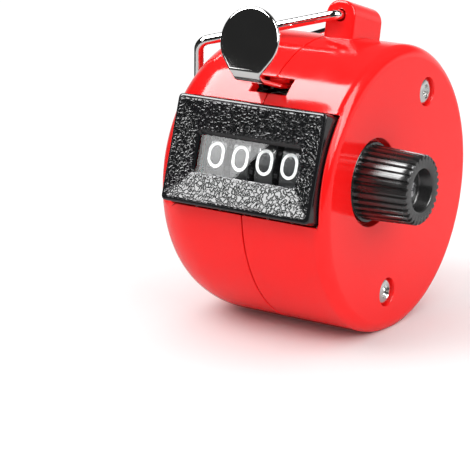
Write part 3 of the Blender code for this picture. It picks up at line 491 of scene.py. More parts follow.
def lug_mesh():
    """An arched outline in X and Z, drawn out in Y, with rounded edges and a lower rear."""
    lug_right, crown = lug_left + lug_width, (lug_crown, lug_crown)
    crown_z = lug_top - lug_crown
    outline = ([(lug_left, lug_foot), (lug_right, lug_foot)]
               + arc((lug_right - lug_crown, crown_z), crown, 0, 90, 10)
               + arc((lug_left + lug_crown, crown_z), crown, 90, 180, 10))
    shape = bmesh.new()
    join_rings(shape, [[shape.verts.new((a, y, b - drop if b > lug_foot else b)) for a, b in outline]
                       for y, drop in ((-lug_half, 0.0), (lug_half, lug_fall))])
    made = plain_object(closed_mesh(shape))
    soften(made, lug_edge, 4, 40, clamp=True)
    mesh = as_plain_mesh(made)
    mesh.transform(from_lug)
    return mesh


def lug_hole():
    mesh = rods(hinge_radius, -2 * lug_half, 2 * lug_half, 24, [(0.0, 0.0)])[0]
    mesh.transform(Matrix.Rotation(math.pi / 2, 4, "Z"))
    mesh.transform(from_lug @ hinge_place)
    return mesh


print("lug:", round(2 * lug_half * 1000, 2), "mm long")

# %% [markdown]
# Inside, bosses take the two case screws, and pads hold the frame plates. The right end face
# has a round recess for the knob, with a boss behind it, and a recess for each screw's head.
# All of them are rods along X, some added to a turned shell and some cut from it.

# %% Sizes inside the shells
shell_edge = 0.00012
screw_places = [(0.0032, 0.0163), (0.0017, -0.0161)]
pad_places = [(0.0060, 0.0110), (0.0050, -0.0110)]
plate_outer = 0.0112
pad_radius = 0.0024
boss_radius = 0.0026
boss_right = 0.0061
boss_left = 0.0058
screw_hole = 0.0014
screw_hole_start = -0.0012
screw_hole_end = 0.010
head_recess = 0.0023
head_floor = 0.01335
knob_boss = 0.0079
knob_boss_start = 0.0123
knob_recess = 0.0069
knob_floor = 0.0133
shaft_hole = 0.0018
shaft_hole_start = 0.0119
in_right_wall = right_length - case_wall / 2
in_left_wall = case_wall / 2 - left_length
past_right_face = right_length + 0.001
print("screw bosses:", round(2 * boss_radius * 1000, 1), "mm across")

# %% Carve the shells
right_joins = (rods(boss_radius, boss_right, in_right_wall, 32, screw_places)
               + rods(pad_radius, plate_outer + side_gap, in_right_wall, 32, pad_places)
               + rods(knob_boss, knob_boss_start, in_right_wall, 64, [wheel_axis])
               + [lug_mesh()])
right_cuts = (rods(screw_hole, screw_hole_start, past_right_face, 24, screw_places)
              + rods(head_recess, head_floor, past_right_face, 48, screw_places)
              + rods(knob_recess, knob_floor, past_right_face, 96, [wheel_axis])
              + rods(shaft_hole, shaft_hole_start, right_length, 32, [wheel_axis])
              + [lug_hole()])
left_joins = (rods(boss_radius, in_left_wall, boss_left, 32, screw_places)
              + rods(pad_radius, in_left_wall, -plate_outer - side_gap, 32, pad_places))
left_cuts = rods(screw_hole, screw_hole_start, screw_hole_end, 24, screw_places)
right_mesh = carved(right_turned, right_joins, right_cuts + shared_cuts())
left_mesh = carved(left_turned, left_joins, left_cuts + shared_cuts())
piece("red_right_shell", right_mesh, red_gloss, "case", ["right_shell"], edge=shell_edge)
piece("red_left_shell", left_mesh, red_gloss, "case", ["left_shell"], edge=shell_edge)

# %% [markdown]
# The display frame is a picture frame of rounded rectangles. Each row is one rectangle at its
# own depth, and rows joined one after another give the outer wall, the rounded rim, the inner
# slopes and the lens pocket behind, with no cutting at all. A number on each row tells the
# finish where the grain is.

# %% Rows of rectangles
window_width = 0.0188
window_height = 0.0065
window_depth = 0.00113
window_drop = 0.0001
window_low = bezel_raise - window_drop - window_height / 2
outer_box = (-bezel_width / 2, bezel_width / 2, bezel_low, bezel_high)
window_box = (-window_width / 2, window_width / 2, window_low, window_low + window_height)
corner_steps = 6
side_steps = 10


def grown(rectangle, amount):
    low_x, high_x, low_z, high_z = rectangle
    return (low_x - amount, high_x + amount, low_z - amount, high_z + amount)


def rectangle_ring(shape, rectangle, corner_round, y):
    """Points round a rectangle with rounded corners, at one depth."""
    low_x, high_x, low_z, high_z = grown(rectangle, -corner_round)
    centres = [(high_x, high_z), (low_x, high_z), (low_x, low_z), (high_x, low_z)]
    corners = [arc(centre, (corner_round, corner_round), 90 * k, 90 * k + 90, corner_steps)
               for k, centre in enumerate(centres)]
    points = []
    for corner, following in zip(corners, corners[1:] + corners[:1]):
        start, end = Vector(corner[-1]), Vector(following[0])
        points += corner
        points += [tuple(start.lerp(end, i / side_steps)) for i in range(1, side_steps)]
    return [shape.verts.new((a, y, b)) for a, b in points]


def rows_to_mesh(rows, closed):
    """rows are (rectangle, corner radius, y, grain); the grain is kept on the points."""
    shape = bmesh.new()
    grain = shape.verts.layers.float.new("grain")
    rings = []
    for rectangle, corner_round, y, amount in rows:
        ring = rectangle_ring(shape, rectangle, corner_round, y)
        for vertex in ring:
            vertex[grain] = amount
        rings.append(ring)
    join_rings(shape, rings, closed)
    return closed_mesh(shape)


print("window:", [round(v * 1000, 2) for v in window_box], "mm")

# %% The display frame
rim_round = 0.0004
rim_width = 0.0005
frame_corner = 0.0007
slope_corner = 0.0006
hole_corner = 0.0003
left_wall = 0.00030
right_wall = 0.00008
top_wall = 0.00055
slope_step = 0.00006
lip_depth = 0.00055
pocket_depth = 0.00255
frame_wall = 0.0012
glass_grip = 0.0007
grain_rows = [(0.11, 0.0), (0.13, 0.3), (0.155, 1.0), (0.4, 1.0), (0.65, 1.0), (0.9, 1.0), (0.975, 0.6)]
rim_share = rim_width / ((bezel_width - window_width) / 2)
lens_front = bezel_front - window_depth - lip_depth
pocket_y = pocket_depth - bezel_front


def slope_row(share, grain):
    """A rectangle between the frame's outer edge and the window's edge, on the inner slopes."""
    rectangle = tuple(outer + (inner - outer) * share for outer, inner in zip(outer_box, window_box))
    depth = window_depth * max(0.0, (share - rim_share) / (1 - rim_share))
    return (rectangle, slope_corner, -bezel_front + depth, grain)


def rim_row(angle):
    """One step of the rounding between the outer wall and the front, with the angle in degrees."""
    a = math.radians(angle)
    return (grown(outer_box, rim_round * (math.cos(a) - 1)), frame_corner,
            -bezel_front + rim_round * (1 - math.sin(a)), 0.0)


opening = (window_box[0] + left_wall, window_box[1] - right_wall,
           window_box[2], window_box[3] - top_wall)
pocket = grown(window_box, glass_grip + side_gap)
hollow = grown(outer_box, -frame_wall)
frame_rows = (
    [(outer_box, frame_corner, -bezel_back, 0.0)]
    + [rim_row(11.25 * i) for i in range(9)]
    + [slope_row(share, grain) for share, grain in grain_rows]
    + [(window_box, hole_corner, -bezel_front + window_depth + slope_step, 0.0)]
    + [(rectangle, hole_corner, y, 0.0) for rectangle, y in (
        (opening, -lens_front), (pocket, -lens_front), (pocket, pocket_y),
        (hollow, pocket_y), (hollow, -bezel_back))]
)
piece("display_frame", rows_to_mesh(frame_rows, True), grain_black, "case", ["bezel"])

# %% The window
glass_front = side_gap - lens_front
glass_chamfer = 0.0001
glass_thickness = 0.0006
glass_box = grown(window_box, glass_grip)
glass_edge = grown(glass_box, -glass_chamfer)
glass_rows = [
    (glass_edge, 0.0004, glass_front, 0.0),
    (glass_box, 0.0005, glass_front + glass_chamfer, 0.0),
    (glass_box, 0.0005, glass_front + glass_thickness - glass_chamfer, 0.0),
    (glass_edge, 0.0004, glass_front + glass_thickness, 0.0),
]
piece("display_window", rows_to_mesh(glass_rows, False), window_clear, "case", ["window_lens"])

# %% [markdown]
# Each number wheel is a moulded drum with a hub and an inner ring. The three wheels that the
# carry drives have gear teeth on one side, drawn here as one flat outline made thick.

# %% Wheel bodies
wheel_radius = 0.0120
wheel_pitch = 0.00445
wheel_centres = {"thousands": -1.5, "hundreds": -0.5, "tens": 0.5, "units": 1.5}
band_half = 0.001625
band_chamfer = 0.00012
rim_wall = 0.0010
web_wall = 0.0008
ring_radius = wheel_radius * 0.736
hub_radius = 0.0030
hub_reach = 0.0005
bore_radius = 0.0018
gear_module = wheel_radius * 0.088
gear_teeth = 20
gear_bore = 0.0072
gear_thickness = 0.0007
gear_overlap = 0.0002


def gear_outline():
    """The gear's teeth as (y, z) points round the wheels' axis."""
    pitch = gear_module * gear_teeth / 2
    tip, root = pitch + gear_module * 0.70, pitch - gear_module * 1.10
    tip_half, root_half = gear_module * 0.30 / tip, gear_module * 0.90 / root
    points = []
    for i in range(gear_teeth):
        middle = math.pi * (2 * i + 1) / gear_teeth
        for radius, angle in ((root, -root_half), (tip, -tip_half), (tip, tip_half), (root, root_half)):
            points.append((wheel_y + radius * math.cos(middle + angle),
                           wheel_z + radius * math.sin(middle + angle)))
    return points


def wheel_mesh(centre, carries, driven):
    """The band, web, inner ring and hub as one profile, and the gear on a driven wheel."""
    inner = band_half - web_wall
    low = -band_half - hub_reach if carries else -inner
    profile = [
        (bore_radius, band_half), (wheel_radius - band_chamfer, band_half),
        (wheel_radius, band_half - band_chamfer), (wheel_radius, band_chamfer - band_half),
        (wheel_radius - band_chamfer, -band_half),
        (wheel_radius - rim_wall, -band_half), (wheel_radius - rim_wall, inner),
        (ring_radius, inner), (ring_radius, low),
        (ring_radius - rim_wall, low), (ring_radius - rim_wall, inner),
        (hub_radius, inner), (hub_radius, -band_half - hub_reach), (bore_radius, -band_half - hub_reach),
    ]
    moved = [(radius, x + centre) for radius, x in profile]
    meshes = [turned(moved, 128, closed=True, y=wheel_y, z=wheel_z)]
    if driven:
        start = centre + band_half - gear_overlap
        meshes.append(plate(gear_outline(), start, start + gear_thickness, [(*wheel_axis, gear_bore)]))
    return together(meshes)


print("gear module:", round(gear_module * 1000, 3), "mm")

# %% [markdown]
# Each wheel has ten printed digits. A digit is one or two chains of points drawn on a flat
# sheet. Geometry Nodes gives the chains a width and a thickness and rolls the sheet round the
# wheel, so one tree prints all four wheels.

# %% Digits drawn as chains of points
digit_height = 0.00400
digit_width = 0.0029
digit_inset = 0.00021
stroke = 0.00048
ink_height = 0.00005
top = 1.0
side = 0.8
digit_chains = {
    0: [(arc((0, top - side), (side, side), 0, 180, 14)
         + arc((0, side - top), (side, side), 180, 360, 14), True)],
    1: [([(-0.42, 0.62), (0.05, top), (0.05, -top)], False)],
    2: [(arc((0, 0.35), (side, 0.65), 165, -30, 16) + [(-side, -top), (side, -top)], False)],
    3: [(arc((0, 0.45), (side, 0.55), 150, -90, 14) + arc((0, -0.45), (side, 0.55), 90, -150, 14), False)],
    4: [([(0.42, -top), (0.42, top), (-side, -0.42), (side, -0.42)], False)],
    5: [([(0.7, top), (-0.62, top), (-0.7, 0.06)] + arc((0, -0.38), (side, 0.62), 125, -155, 18), False)],
    6: [(arc((0, -0.38), (side, 0.62), 0, 360, 28)[:-1], True),
        (arc((0.55, -0.38), (1.35, 1.38), 180, 95, 14), False)],
    7: [([(-side, top), (side, top), (-0.2, -top)], False)],
    8: [(arc((0, 0.5), (0.68, 0.5), 0, 360, 26)[:-1], True),
        (arc((0, -0.48), (side, 0.52), 0, 360, 26)[:-1], True)],
    9: [(arc((0, 0.38), (side, 0.62), 0, 360, 28)[:-1], True),
        (arc((-0.55, 0.38), (1.35, 1.38), 0, -85, 14), False)],
}


def digit_sheet(centre):
    """Edges of all ten digits on a flat sheet: X along the wheel's axis, Y round its rim."""
    shape = bmesh.new()
    scale_x = (digit_width / 2 - digit_inset) / side
    scale_y = digit_height / 2 - digit_inset
    for digit, chains in digit_chains.items():
        middle = -digit * math.radians(36) * wheel_radius
        for chain, closed in chains:
            points = [shape.verts.new((centre + a * scale_x, middle + b * scale_y, 0)) for a, b in chain]
            for first, second in zip(points, points[1:] + points[:1] if closed else points[1:]):
                shape.edges.new((first, second))
    return shape_to_mesh(shape)


print("digits:", len(digit_chains))

# %% Helpers for Geometry Nodes
def geometry_tree(name, inputs):
    """A tree that takes a mesh, its own inputs and a finish."""
    inputs = {"Geometry": "NodeSocketGeometry", **inputs, "Finish": "NodeSocketMaterial"}
    return new_tree(name, "GeometryNodeTree", inputs, "Geometry", "NodeSocketGeometry")


def end_tree(tree, flow, given, result):
    """Make any instances real and give the result its finish."""
    real = add_node(tree, "GeometryNodeRealizeInstances", {"Geometry": flow})
    coat = add_node(tree, "GeometryNodeSetMaterial", {
        "Geometry": real.outputs[0], "Material": given["Finish"]})
    connect(tree, result, {"Geometry": coat.outputs[0]})
    return tree


def position(tree):
    """The X, Y and Z of each point."""
    place = add_node(tree, "GeometryNodeInputPosition")
    return add_node(tree, "ShaderNodeSeparateXYZ", {0: place.outputs[0]}).outputs


def swept(tree, path, profile):
    """A closed solid: the profile carried along the path."""
    return add_node(tree, "GeometryNodeCurveToMesh", {
        "Curve": path.outputs[0], "Profile Curve": profile.outputs[0], "Fill Caps": True}).outputs[0]


def from_tree(mesh, tree, values):
    """Run a tree over a mesh, with its inputs set through each socket's identifier."""
    made = plain_object(mesh)
    step = made.modifiers.new("Tree", "NODES")
    step.node_group = tree
    for item in tree.interface.items_tree:
        if item.in_out == "INPUT" and item.name in values:
            step[item.identifier] = values[item.name]
    return as_plain_mesh(made)


# %% Print the wheels
def printing_tree():
    tree, given, result = geometry_tree("print_digits", {
        "Stroke Width": 0.0005, "Ink Height": 0.00004, "Wheel Radius": 0.0125,
        "Axis Y": 0.0, "Axis Z": 0.0})
    maths = partial(calculate, tree)
    path = add_node(tree, "GeometryNodeMeshToCurve", {0: given["Geometry"]})
    upright = add_node(tree, "GeometryNodeSetCurveNormal", {"Curve": path.outputs[0]}, mode="Z_UP")
    profile = add_node(tree, "GeometryNodeCurvePrimitiveQuadrilateral", {
        "Width": given["Stroke Width"], "Height": given["Ink Height"]})
    flat = position(tree)
    angle = maths("DIVIDE", flat["Y"], given["Wheel Radius"])
    radius = maths("ADD", flat["Z"], given["Wheel Radius"])
    forward = maths("MULTIPLY", radius, maths("COSINE", angle))
    up = maths("MULTIPLY", radius, maths("SINE", angle))
    rolled = add_node(tree, "ShaderNodeCombineXYZ", {
        "X": flat["X"], "Y": maths("SUBTRACT", given["Axis Y"], forward),
        "Z": maths("ADD", given["Axis Z"], up)})
    move = add_node(tree, "GeometryNodeSetPosition", {
        "Geometry": swept(tree, upright, profile), "Position": rolled.outputs[0]})
    return end_tree(tree, move.outputs[0], given, result)


print_digits = printing_tree()
for label, offset in wheel_centres.items():
    centre = offset * wheel_pitch
    body = label + "_wheel"
    wheel = wheel_mesh(centre, label != "thousands", label != "units")
    piece("wheel_of_" + label, wheel, wheel_black, body, ["number_wheel_" + label], angle=30.0)
    ink = from_tree(digit_sheet(centre), print_digits, {
        "Stroke Width": stroke, "Ink Height": ink_height, "Wheel Radius": wheel_radius,
        "Axis Y": wheel_y, "Axis Z": wheel_z, "Finish": digit_white})
    piece("digits_of_" + label, ink, digit_white, body, angle=50.0)

# %% [markdown]
# The reset knob is a turned barrel with thirty ribs for the fingers. The ribs follow a rule:
# the barrel's radius drops into a rounded groove at every thirtieth of a turn. Geometry Nodes
# reads each point's angle about the axis and presses the grooves in, so their number and
# depth stay adjustable. A groove's edge and floor are given as shares of a rib's turn.

# %% The tree that presses the grooves
groove_edge = 0.21
groove_floor = 0.38


def groove_tree():
    tree, given, result = geometry_tree("press_grooves", {
        "Ribs": 30.0, "Depth": 0.0004, "Barrel Start": 0.0, "Barrel End": 0.01,
        "Barrel Radius": 0.005, "Axis Y": 0.0, "Axis Z": 0.0})
    maths = partial(calculate, tree)
    times = partial(calculate, tree, "MULTIPLY")
    place = position(tree)
    across = maths("SUBTRACT", place["Y"], given["Axis Y"])
    above = maths("SUBTRACT", place["Z"], given["Axis Z"])
    turns = times(maths("DIVIDE", maths("ARCTAN2", above, across), 2 * math.pi), given["Ribs"])
    groove = add_node(tree, "ShaderNodeMapRange", {
        "Value": maths("PINGPONG", turns, 0.5), "From Min": groove_edge, "From Max": groove_floor},
        interpolation_type="SMOOTHSTEP")
    after = maths("GREATER_THAN", place["X"], given["Barrel Start"])
    before = maths("LESS_THAN", place["X"], given["Barrel End"])
    reach = maths("SQRT", maths("ADD", times(across, across), times(above, above)))
    outside = maths("GREATER_THAN", reach, given["Barrel Radius"])
    where = times(times(after, before), outside)
    pressed = times(times(groove.outputs[0], where), given["Depth"])
    shrink = maths("DIVIDE", pressed, reach)
    inward = add_node(tree, "ShaderNodeCombineXYZ", {
        "Y": times(times(across, shrink), -1.0), "Z": times(times(above, shrink), -1.0)})
    move = add_node(tree, "GeometryNodeSetPosition", {
        "Geometry": given["Geometry"], "Offset": inward.outputs[0]})
    return end_tree(tree, move.outputs[0], given, result)


press_grooves = groove_tree()
print("groove tree nodes:", len(press_grooves.nodes))

# %% The knob
knob_start = knob_floor + running_gap
knob_tip = right_length + 0.0085
collar_radius = 0.0063
collar_end = knob_start + 0.0008
barrel_radius = 0.00585
barrel_taper = 0.0004
barrel_length = knob_tip - barrel_taper - collar_end
barrel_rows = 7
tip_round = 0.00035
tip_centre = (barrel_radius - barrel_taper - tip_round, knob_tip - tip_round)
cavity_radius = 0.0033
cavity_floor = knob_tip - 0.0024
bore_end = cavity_floor - 0.0011
knob_bore = 0.0017
screw_bore = 0.0008
knob_profile = (
    [(knob_bore, knob_start), (collar_radius - 0.0002, knob_start),
     (collar_radius, knob_start + 0.0002), (collar_radius, collar_end - 0.0001),
     (collar_radius - 0.0001, collar_end), (barrel_radius + 0.00005, collar_end)]
    + [(barrel_radius - barrel_taper * i / barrel_rows,
        collar_end + 0.00005 + barrel_length * i / barrel_rows) for i in range(barrel_rows + 1)]
    + arc(tip_centre, (tip_round, tip_round), 75, 90, 1)
    + [(cavity_radius + 0.0003, knob_tip), (cavity_radius + 0.0001, knob_tip - 0.00008),
       (cavity_radius, knob_tip - 0.0002), (cavity_radius, cavity_floor + 0.0002),
       (cavity_radius - 0.0002, cavity_floor), (screw_bore, cavity_floor),
       (screw_bore, bore_end), (knob_bore, bore_end)]
)
knob_mesh = from_tree(turned(knob_profile, 360, closed=True, y=wheel_y, z=wheel_z), press_grooves, {
    "Ribs": 30.0, "Depth": 0.00045, "Barrel Start": collar_end, "Barrel End": knob_tip + 0.0001,
    "Barrel Radius": 0.0047, "Axis Y": wheel_y, "Axis Z": wheel_z, "Finish": knob_black})
piece("ribbed_reset_knob", knob_mesh, knob_black, "reset_knob", ["reset_knob"], angle=45.0)

# %% [markdown]
# The screws are pan heads with a cross recess, two of one size in the case and a smaller one
# in the knob. A head is modelled once for each size, and a tree sets it at each place with its
# own turn, because no two screws stop at the same angle.

# %% A pan head with a cross recess
dome_shares = (0.25, 0.45, 0.62, 0.76, 0.87, 0.95, 1.0)


def screw_template(head, height, shank, length):
    """Built along X with the head's underside at x = 0. Shapes of the head are shares of it."""
    crown = height * 0.62
    profile = (
        [(0.0001, height)]
        + [(head * s, height - crown * (1 - math.sqrt(1 - (s * 0.96) ** 2))) for s in dome_shares]
        + [(head, height * 0.12), (head * 0.985, 0.0), (shank, 0.0), (shank, -length), (0.0001, -length)]
    )
    mesh = turned(profile, 64)
    arm, width, deep = head * 0.56, head * 0.19, height * 0.62
    cross = []
    for flip in (False, True):
        shape = bmesh.new()
        rings = []
        for x, share in ((height - deep, 0.55), (height + 0.0003, 1.25)):
            a, b = arm * share, width * (0.8 + 0.2 * share)
            if flip:
                a, b = b, a
            rings.append([shape.verts.new((x, p, q)) for p, q in ((-a, -b), (a, -b), (a, b), (-a, b))])
        join_rings(shape, rings)
        cross.append(closed_mesh(shape))
    return carved(mesh, cut_away=cross)


# %% Set the screws
def setting_tree():
    tree, given, result = geometry_tree("set_screws", {"Screw": "NodeSocketObject"})
    shape = add_node(tree, "GeometryNodeObjectInfo", {"Object": given["Screw"]})
    turn = add_node(tree, "GeometryNodeInputNamedAttribute", {"Name": "turn"})
    spin = add_node(tree, "ShaderNodeCombineXYZ", {"X": turn.outputs["Attribute"]})
    points = add_node(tree, "GeometryNodeInstanceOnPoints", {
        "Points": given["Geometry"], "Instance": shape.outputs["Geometry"], "Rotation": spin.outputs[0]})
    return end_tree(tree, points.outputs[0], given, result)


set_screws = setting_tree()


def screws(name, template, coat, places, body, nodes):
    """places are (x, y, z, turn) for each screw's seat."""
    mesh = bpy.data.meshes.new("seats")
    mesh.from_pydata([place[:3] for place in places], [], [])
    turn = mesh.attributes.new("turn", "FLOAT", "POINT")
    for item, place in zip(turn.data, places):
        item.value = math.radians(place[3])
    pattern = plain_object(template)
    made = from_tree(mesh, set_screws, {"Screw": pattern, "Finish": coat})
    bpy.data.objects.remove(pattern, do_unlink=True)
    piece(name, made, coat, body, nodes, angle=40.0)


seat_x = head_floor + side_gap
case_screw = screw_template(head=0.0021, height=0.0012, shank=0.0011, length=0.0140)
screws("case_screws", case_screw, screw_plate,
       [(seat_x, *screw_places[0], 22.0), (seat_x, *screw_places[1], 50.0)],
       "case", ["case_screw_upper", "case_screw_lower"])
end_screw = screw_template(head=0.0013, height=0.0008, shank=0.0005, length=0.0042)
screws("knob_end_screw", end_screw, dark_steel,
       [(cavity_floor + side_gap, *wheel_axis, 10.0)], "reset_knob", ["knob_screw"])

# %% [markdown]
# The finger ring is one bent wire. Its path is a chain of corners, each rounded with its own
# bend, and a tree sweeps a round wire along it and closes the two ends inside the lug.

# %% Paths with rounded bends
bend_steps = 14


def rounded_path(points, rounds):
    chain = [Vector(point) for point in points]
    smooth = [chain[0]]
    for before, corner, after, radius in zip(chain, chain[1:], chain[2:], rounds):
        arrive, leave = (before - corner).normalized(), (after - corner).normalized()
        half = arrive.angle(leave) / 2
        hub = corner + (arrive + leave).normalized() * (radius / math.sin(half))
        tangent = radius / math.tan(half)
        first, last = corner + arrive * tangent - hub, corner + leave * tangent - hub
        smooth += [hub + first.slerp(last, i / bend_steps) * radius for i in range(bend_steps + 1)]
    return smooth + [chain[-1]]


def wire_tree():
    tree, given, result = geometry_tree("draw_wire", {"Wire Radius": 0.0007, "Sides": 24})
    path = add_node(tree, "GeometryNodeMeshToCurve", {0: given["Geometry"]})
    profile = add_node(tree, "GeometryNodeCurvePrimitiveCircle", {
        "Radius": given["Wire Radius"], "Resolution": given["Sides"]})
    return end_tree(tree, swept(tree, path, profile), given, result)


def path_mesh(points):
    mesh = bpy.data.meshes.new("path")
    mesh.from_pydata([tuple(p) for p in points], [(i, i + 1) for i in range(len(points) - 1)], [])
    return mesh


# %% The finger ring
ring_wire = 0.0008
ring_bend = math.radians(57.0)
wire_in_lug = 0.0025
leg_start = lug_half + 0.0010
leg_x = -0.02152
leg_z = -0.006817
leg_spread = 0.0113
tip_length = 0.0150
tip_half = 0.0026
tip_turn = math.atan2(leg_z, leg_x) + math.pi + ring_bend
tip_x = leg_x - tip_length * math.cos(tip_turn)
tip_z = leg_z - tip_length * math.sin(tip_turn)
ring_front = [(0, wire_in_lug - lug_half, 0), (0, -leg_start, 0),
              (leg_x, -leg_spread, leg_z), (tip_x, -tip_half, tip_z)]
ring_back = [(x, -y, z) for x, y, z in reversed(ring_front)]
bends = [0.0012, 0.0022, 0.0024]
ring_path = path_mesh(rounded_path(ring_front + ring_back, bends + bends[::-1]))
ring_mesh = from_tree(ring_path, wire_tree(), {"Wire Radius": ring_wire, "Sides": 28, "Finish": chrome})
piece("chromed_finger_ring", ring_mesh, chrome, "finger_ring", ["finger_ring"],
      place=lug_place @ hinge_place, angle=60.0)

# %% [markdown]
# The thumb lever is one stamped sheet: a round disc, a narrowing neck, a strip through the
# slot and a wide web inside. Here it is drawn flat with rounded edges, cut across where it
# will bend, and then every point is carried onto the bent centre line. The arms' rear edges
# are hollowed a little where the return spring's leg lies, so a pressed lever clears it.

# %% The flat blank and the bends
lever_place = case_place @ Matrix.Translation((0, -0.0135, -0.0120))
lever_thickness = 0.00074
disc_thickness = 0.0009
disc_radius = 0.00515
disc_z = 0.0299
disc_lean = math.radians(3.0)
neck_length = 0.0052
strip_half = 0.0025
strip_z = 0.02426
front_y = -0.0139
bend_y = -0.0041
web_slope = math.radians(24.0)
web_end = 0.0052
web_widens = 0.0026
arm_inner = 0.0098
arm_thickness = 0.00065
disc_top = disc_z + disc_radius
top_point = (front_y - math.sin(disc_lean) * (disc_top - strip_z), disc_top)
web_point = (bend_y + web_end * math.cos(web_slope), strip_z + web_end * math.sin(web_slope))
line = rounded_path([(*top_point, 0), (front_y, strip_z, 0), (bend_y, strip_z, 0), (*web_point, 0)],
                    [0.0018, 0.0008])
reach = [0.0]
for before, after in zip(line, line[1:]):
    reach.append(reach[-1] + (after - before).length)
print("flat length:", round(reach[-1] * 1000, 2), "mm")


def on_line(length):
    """The centre line's point and direction at a length from its top."""
    for i in range(len(line) - 1):
        if length <= reach[i + 1] or i == len(line) - 2:
            share = (length - reach[i]) / (reach[i + 1] - reach[i])
            return line[i].lerp(line[i + 1], share), (line[i + 1] - line[i]).normalized()


def blank_outline():
    """Half-disc, tangent neck, strip and wide web, as (x, length from the top)."""
    web_half, web_begin = arm_inner + arm_thickness, reach[-1] - web_end + web_widens
    corner = Vector((strip_half, neck_length))
    touch = math.atan2(corner.y, corner.x) - math.acos(disc_radius / corner.length)
    right = arc((0, disc_radius), (disc_radius, disc_radius), -90, math.degrees(touch), 40)
    right += [(strip_half, disc_radius + neck_length), (strip_half, web_begin), (web_half, web_begin),
              (web_half, reach[-1])]
    return right + [(-x, y) for x, y in reversed(right[1:])]


def inset_outline(points, amount):
    """Each point moved inward along the middle of its two edges' normals."""
    moved = []
    for i in range(len(points)):
        a, b, c = (Vector(points[(i + k) % len(points)]) for k in (-1, 0, 1))
        first, second = (b - a).normalized(), (c - b).normalized()
        normal = Vector((-first.y - second.y, first.x + second.x)).normalized()
        grow = 1 / max(0.4, normal.dot(Vector((-first.y, first.x))))
        moved.append(tuple(b + normal * amount * grow))
    return moved


# %% The lever's sheet
edge_inset = 0.00042
edge_drop = 0.00028
cross_cuts = 120
flat_above = 2 * disc_radius - 0.001
thick_until = 0.0095
thick_fade = 0.002
arm_waist = 0.0124
arm_hub = 0.0019
pin_hole = 0.0011
rivet_hole = (-0.0014, 0.0206, 0.0009)
spring_bay = [(0.0002, 0.0064), (0.0002, 0.0048)]


def lever_sheet():
    outline = blank_outline()
    rounding = [(edge_inset * (1 - math.sin(a)), edge_drop * (1 - math.cos(a)) - lever_thickness / 2)
                for a in (i * math.pi / 8 for i in range(5))]
    rounding += [(inset, -height) for inset, height in reversed(rounding)]
    shape = bmesh.new()
    join_rings(shape, [[shape.verts.new((x, y, height)) for x, y in inset_outline(outline, inset)]
                       for inset, height in rounding])
    for k in range(1, cross_cuts):
        length = reach[-1] * k / cross_cuts
        if length > flat_above:
            everything = shape.verts[:] + shape.edges[:] + shape.faces[:]
            bmesh.ops.bisect_plane(shape, geom=everything, dist=1e-7, plane_co=(0, length, 0),
                                   plane_no=(0, 1, 0))
    for vertex in shape.verts:
        x, length, height = vertex.co
        point, way = on_line(length)
        in_disc = max(0.0, min(1.0, (thick_until - length) / thick_fade))
        thick = height * (1.0 + (disc_thickness / lever_thickness - 1.0) * in_disc)
        vertex.co = (x, point.x + way.y * thick, point.y - way.x * thick)
    return closed_mesh(shape)


def lever_arms():
    """The two side arms down to the pivot pins, hidden in the case."""
    web_y, web_z = web_point
    outline = ([(bend_y + 0.0028, strip_z + 0.0012), (web_y - 0.0001, web_z),
                (web_y + 0.0003, strip_z - 0.0007), (-0.0002, arm_waist), *spring_bay]
               + arc((0, 0), (arm_hub, arm_hub), 20, -200, 20)
               + [(-0.0031, arm_waist)])
    meshes = []
    for low, holes in ((-arm_inner - arm_thickness, []), (arm_inner, [rivet_hole])):
        meshes.append(plate(outline, low, low + arm_thickness, [(0, 0, pin_hole)] + holes))
    return meshes


piece("chromed_thumb_lever", together([lever_sheet()] + lever_arms()), chrome, "thumb_lever",
      ["thumb_lever"], place=lever_place, angle=32.0)

# %% [markdown]
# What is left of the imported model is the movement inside. Its shapes are right, so each node
# keeps its mesh and takes a better finish through its object's slots.

# %% Finishes for the movement
inside = {
    zinc: ["pinion_shaft", "ratchet_wheel", "reset_shaft", "right_frame_plate", "left_frame_plate",
           "frame_post_upper", "frame_post_lower", "lever_pivot_left", "lever_pivot_right",
           "drive_pawl", "pawl_rivet"],
    spring_wire_finish: ["shaft_clip", "lever_return_spring", "pawl_spring", "detent_spring"],
    nylon: ["transfer_pinion_tens", "transfer_pinion_hundreds", "transfer_pinion_thousands"],
}
for material, names in inside.items():
    for name in names:
        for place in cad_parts[name].material_slots:
            place.material = material
print("dressed nodes:", sum(len(names) for names in inside.values()))

# %% [markdown]
# The floor is a plain pale sheet. A floor that looks nearly white to the camera also throws
# much light up, and shows white in every mirror. The Light Path node gives each kind of ray
# its own tone: a light floor for the camera, the lightest for the soft light that bounces
# onto the counter, and a darker one for what the gloss and the chrome mirror.

# %% Floor
floor_half = 0.27
floor_centre = (0.195, 0.145, -0.00002)
tone_seen = 0.76
tone_mirrored = 0.40
tone_bounced = 0.80
floor_shape = bmesh.new()
bmesh.ops.create_grid(floor_shape, x_segments=4, y_segments=4, size=floor_half)
floor_mesh = closed_mesh(floor_shape)
floor_mesh.transform(Matrix.Translation(floor_centre))
floor = plain_object(floor_mesh, "floor")
floor_white = finish("floor_white", (0.60, 0.60, 0.60), (0.6, 0.7), Specular_IOR_Level=0.0)
floor_tree = floor_white.node_tree
floor_path = add_node(floor_tree, "ShaderNodeLightPath")
in_mirrors = add_node(floor_tree, "ShaderNodeMapRange", {
    "Value": floor_path.outputs["Is Glossy Ray"], "To Min": tone_bounced, "To Max": tone_mirrored})
floor_tone = add_node(floor_tree, "ShaderNodeMapRange", {
    "Value": floor_path.outputs["Is Camera Ray"], "To Min": in_mirrors.outputs["Result"],
    "To Max": tone_seen})
connect(floor_tree, floor_tree.nodes["Principled BSDF"], {"Base Color": floor_tone.outputs["Result"]})
floor.data.materials.append(floor_white)
print("floor tones:", tone_seen, tone_mirrored, tone_bounced)

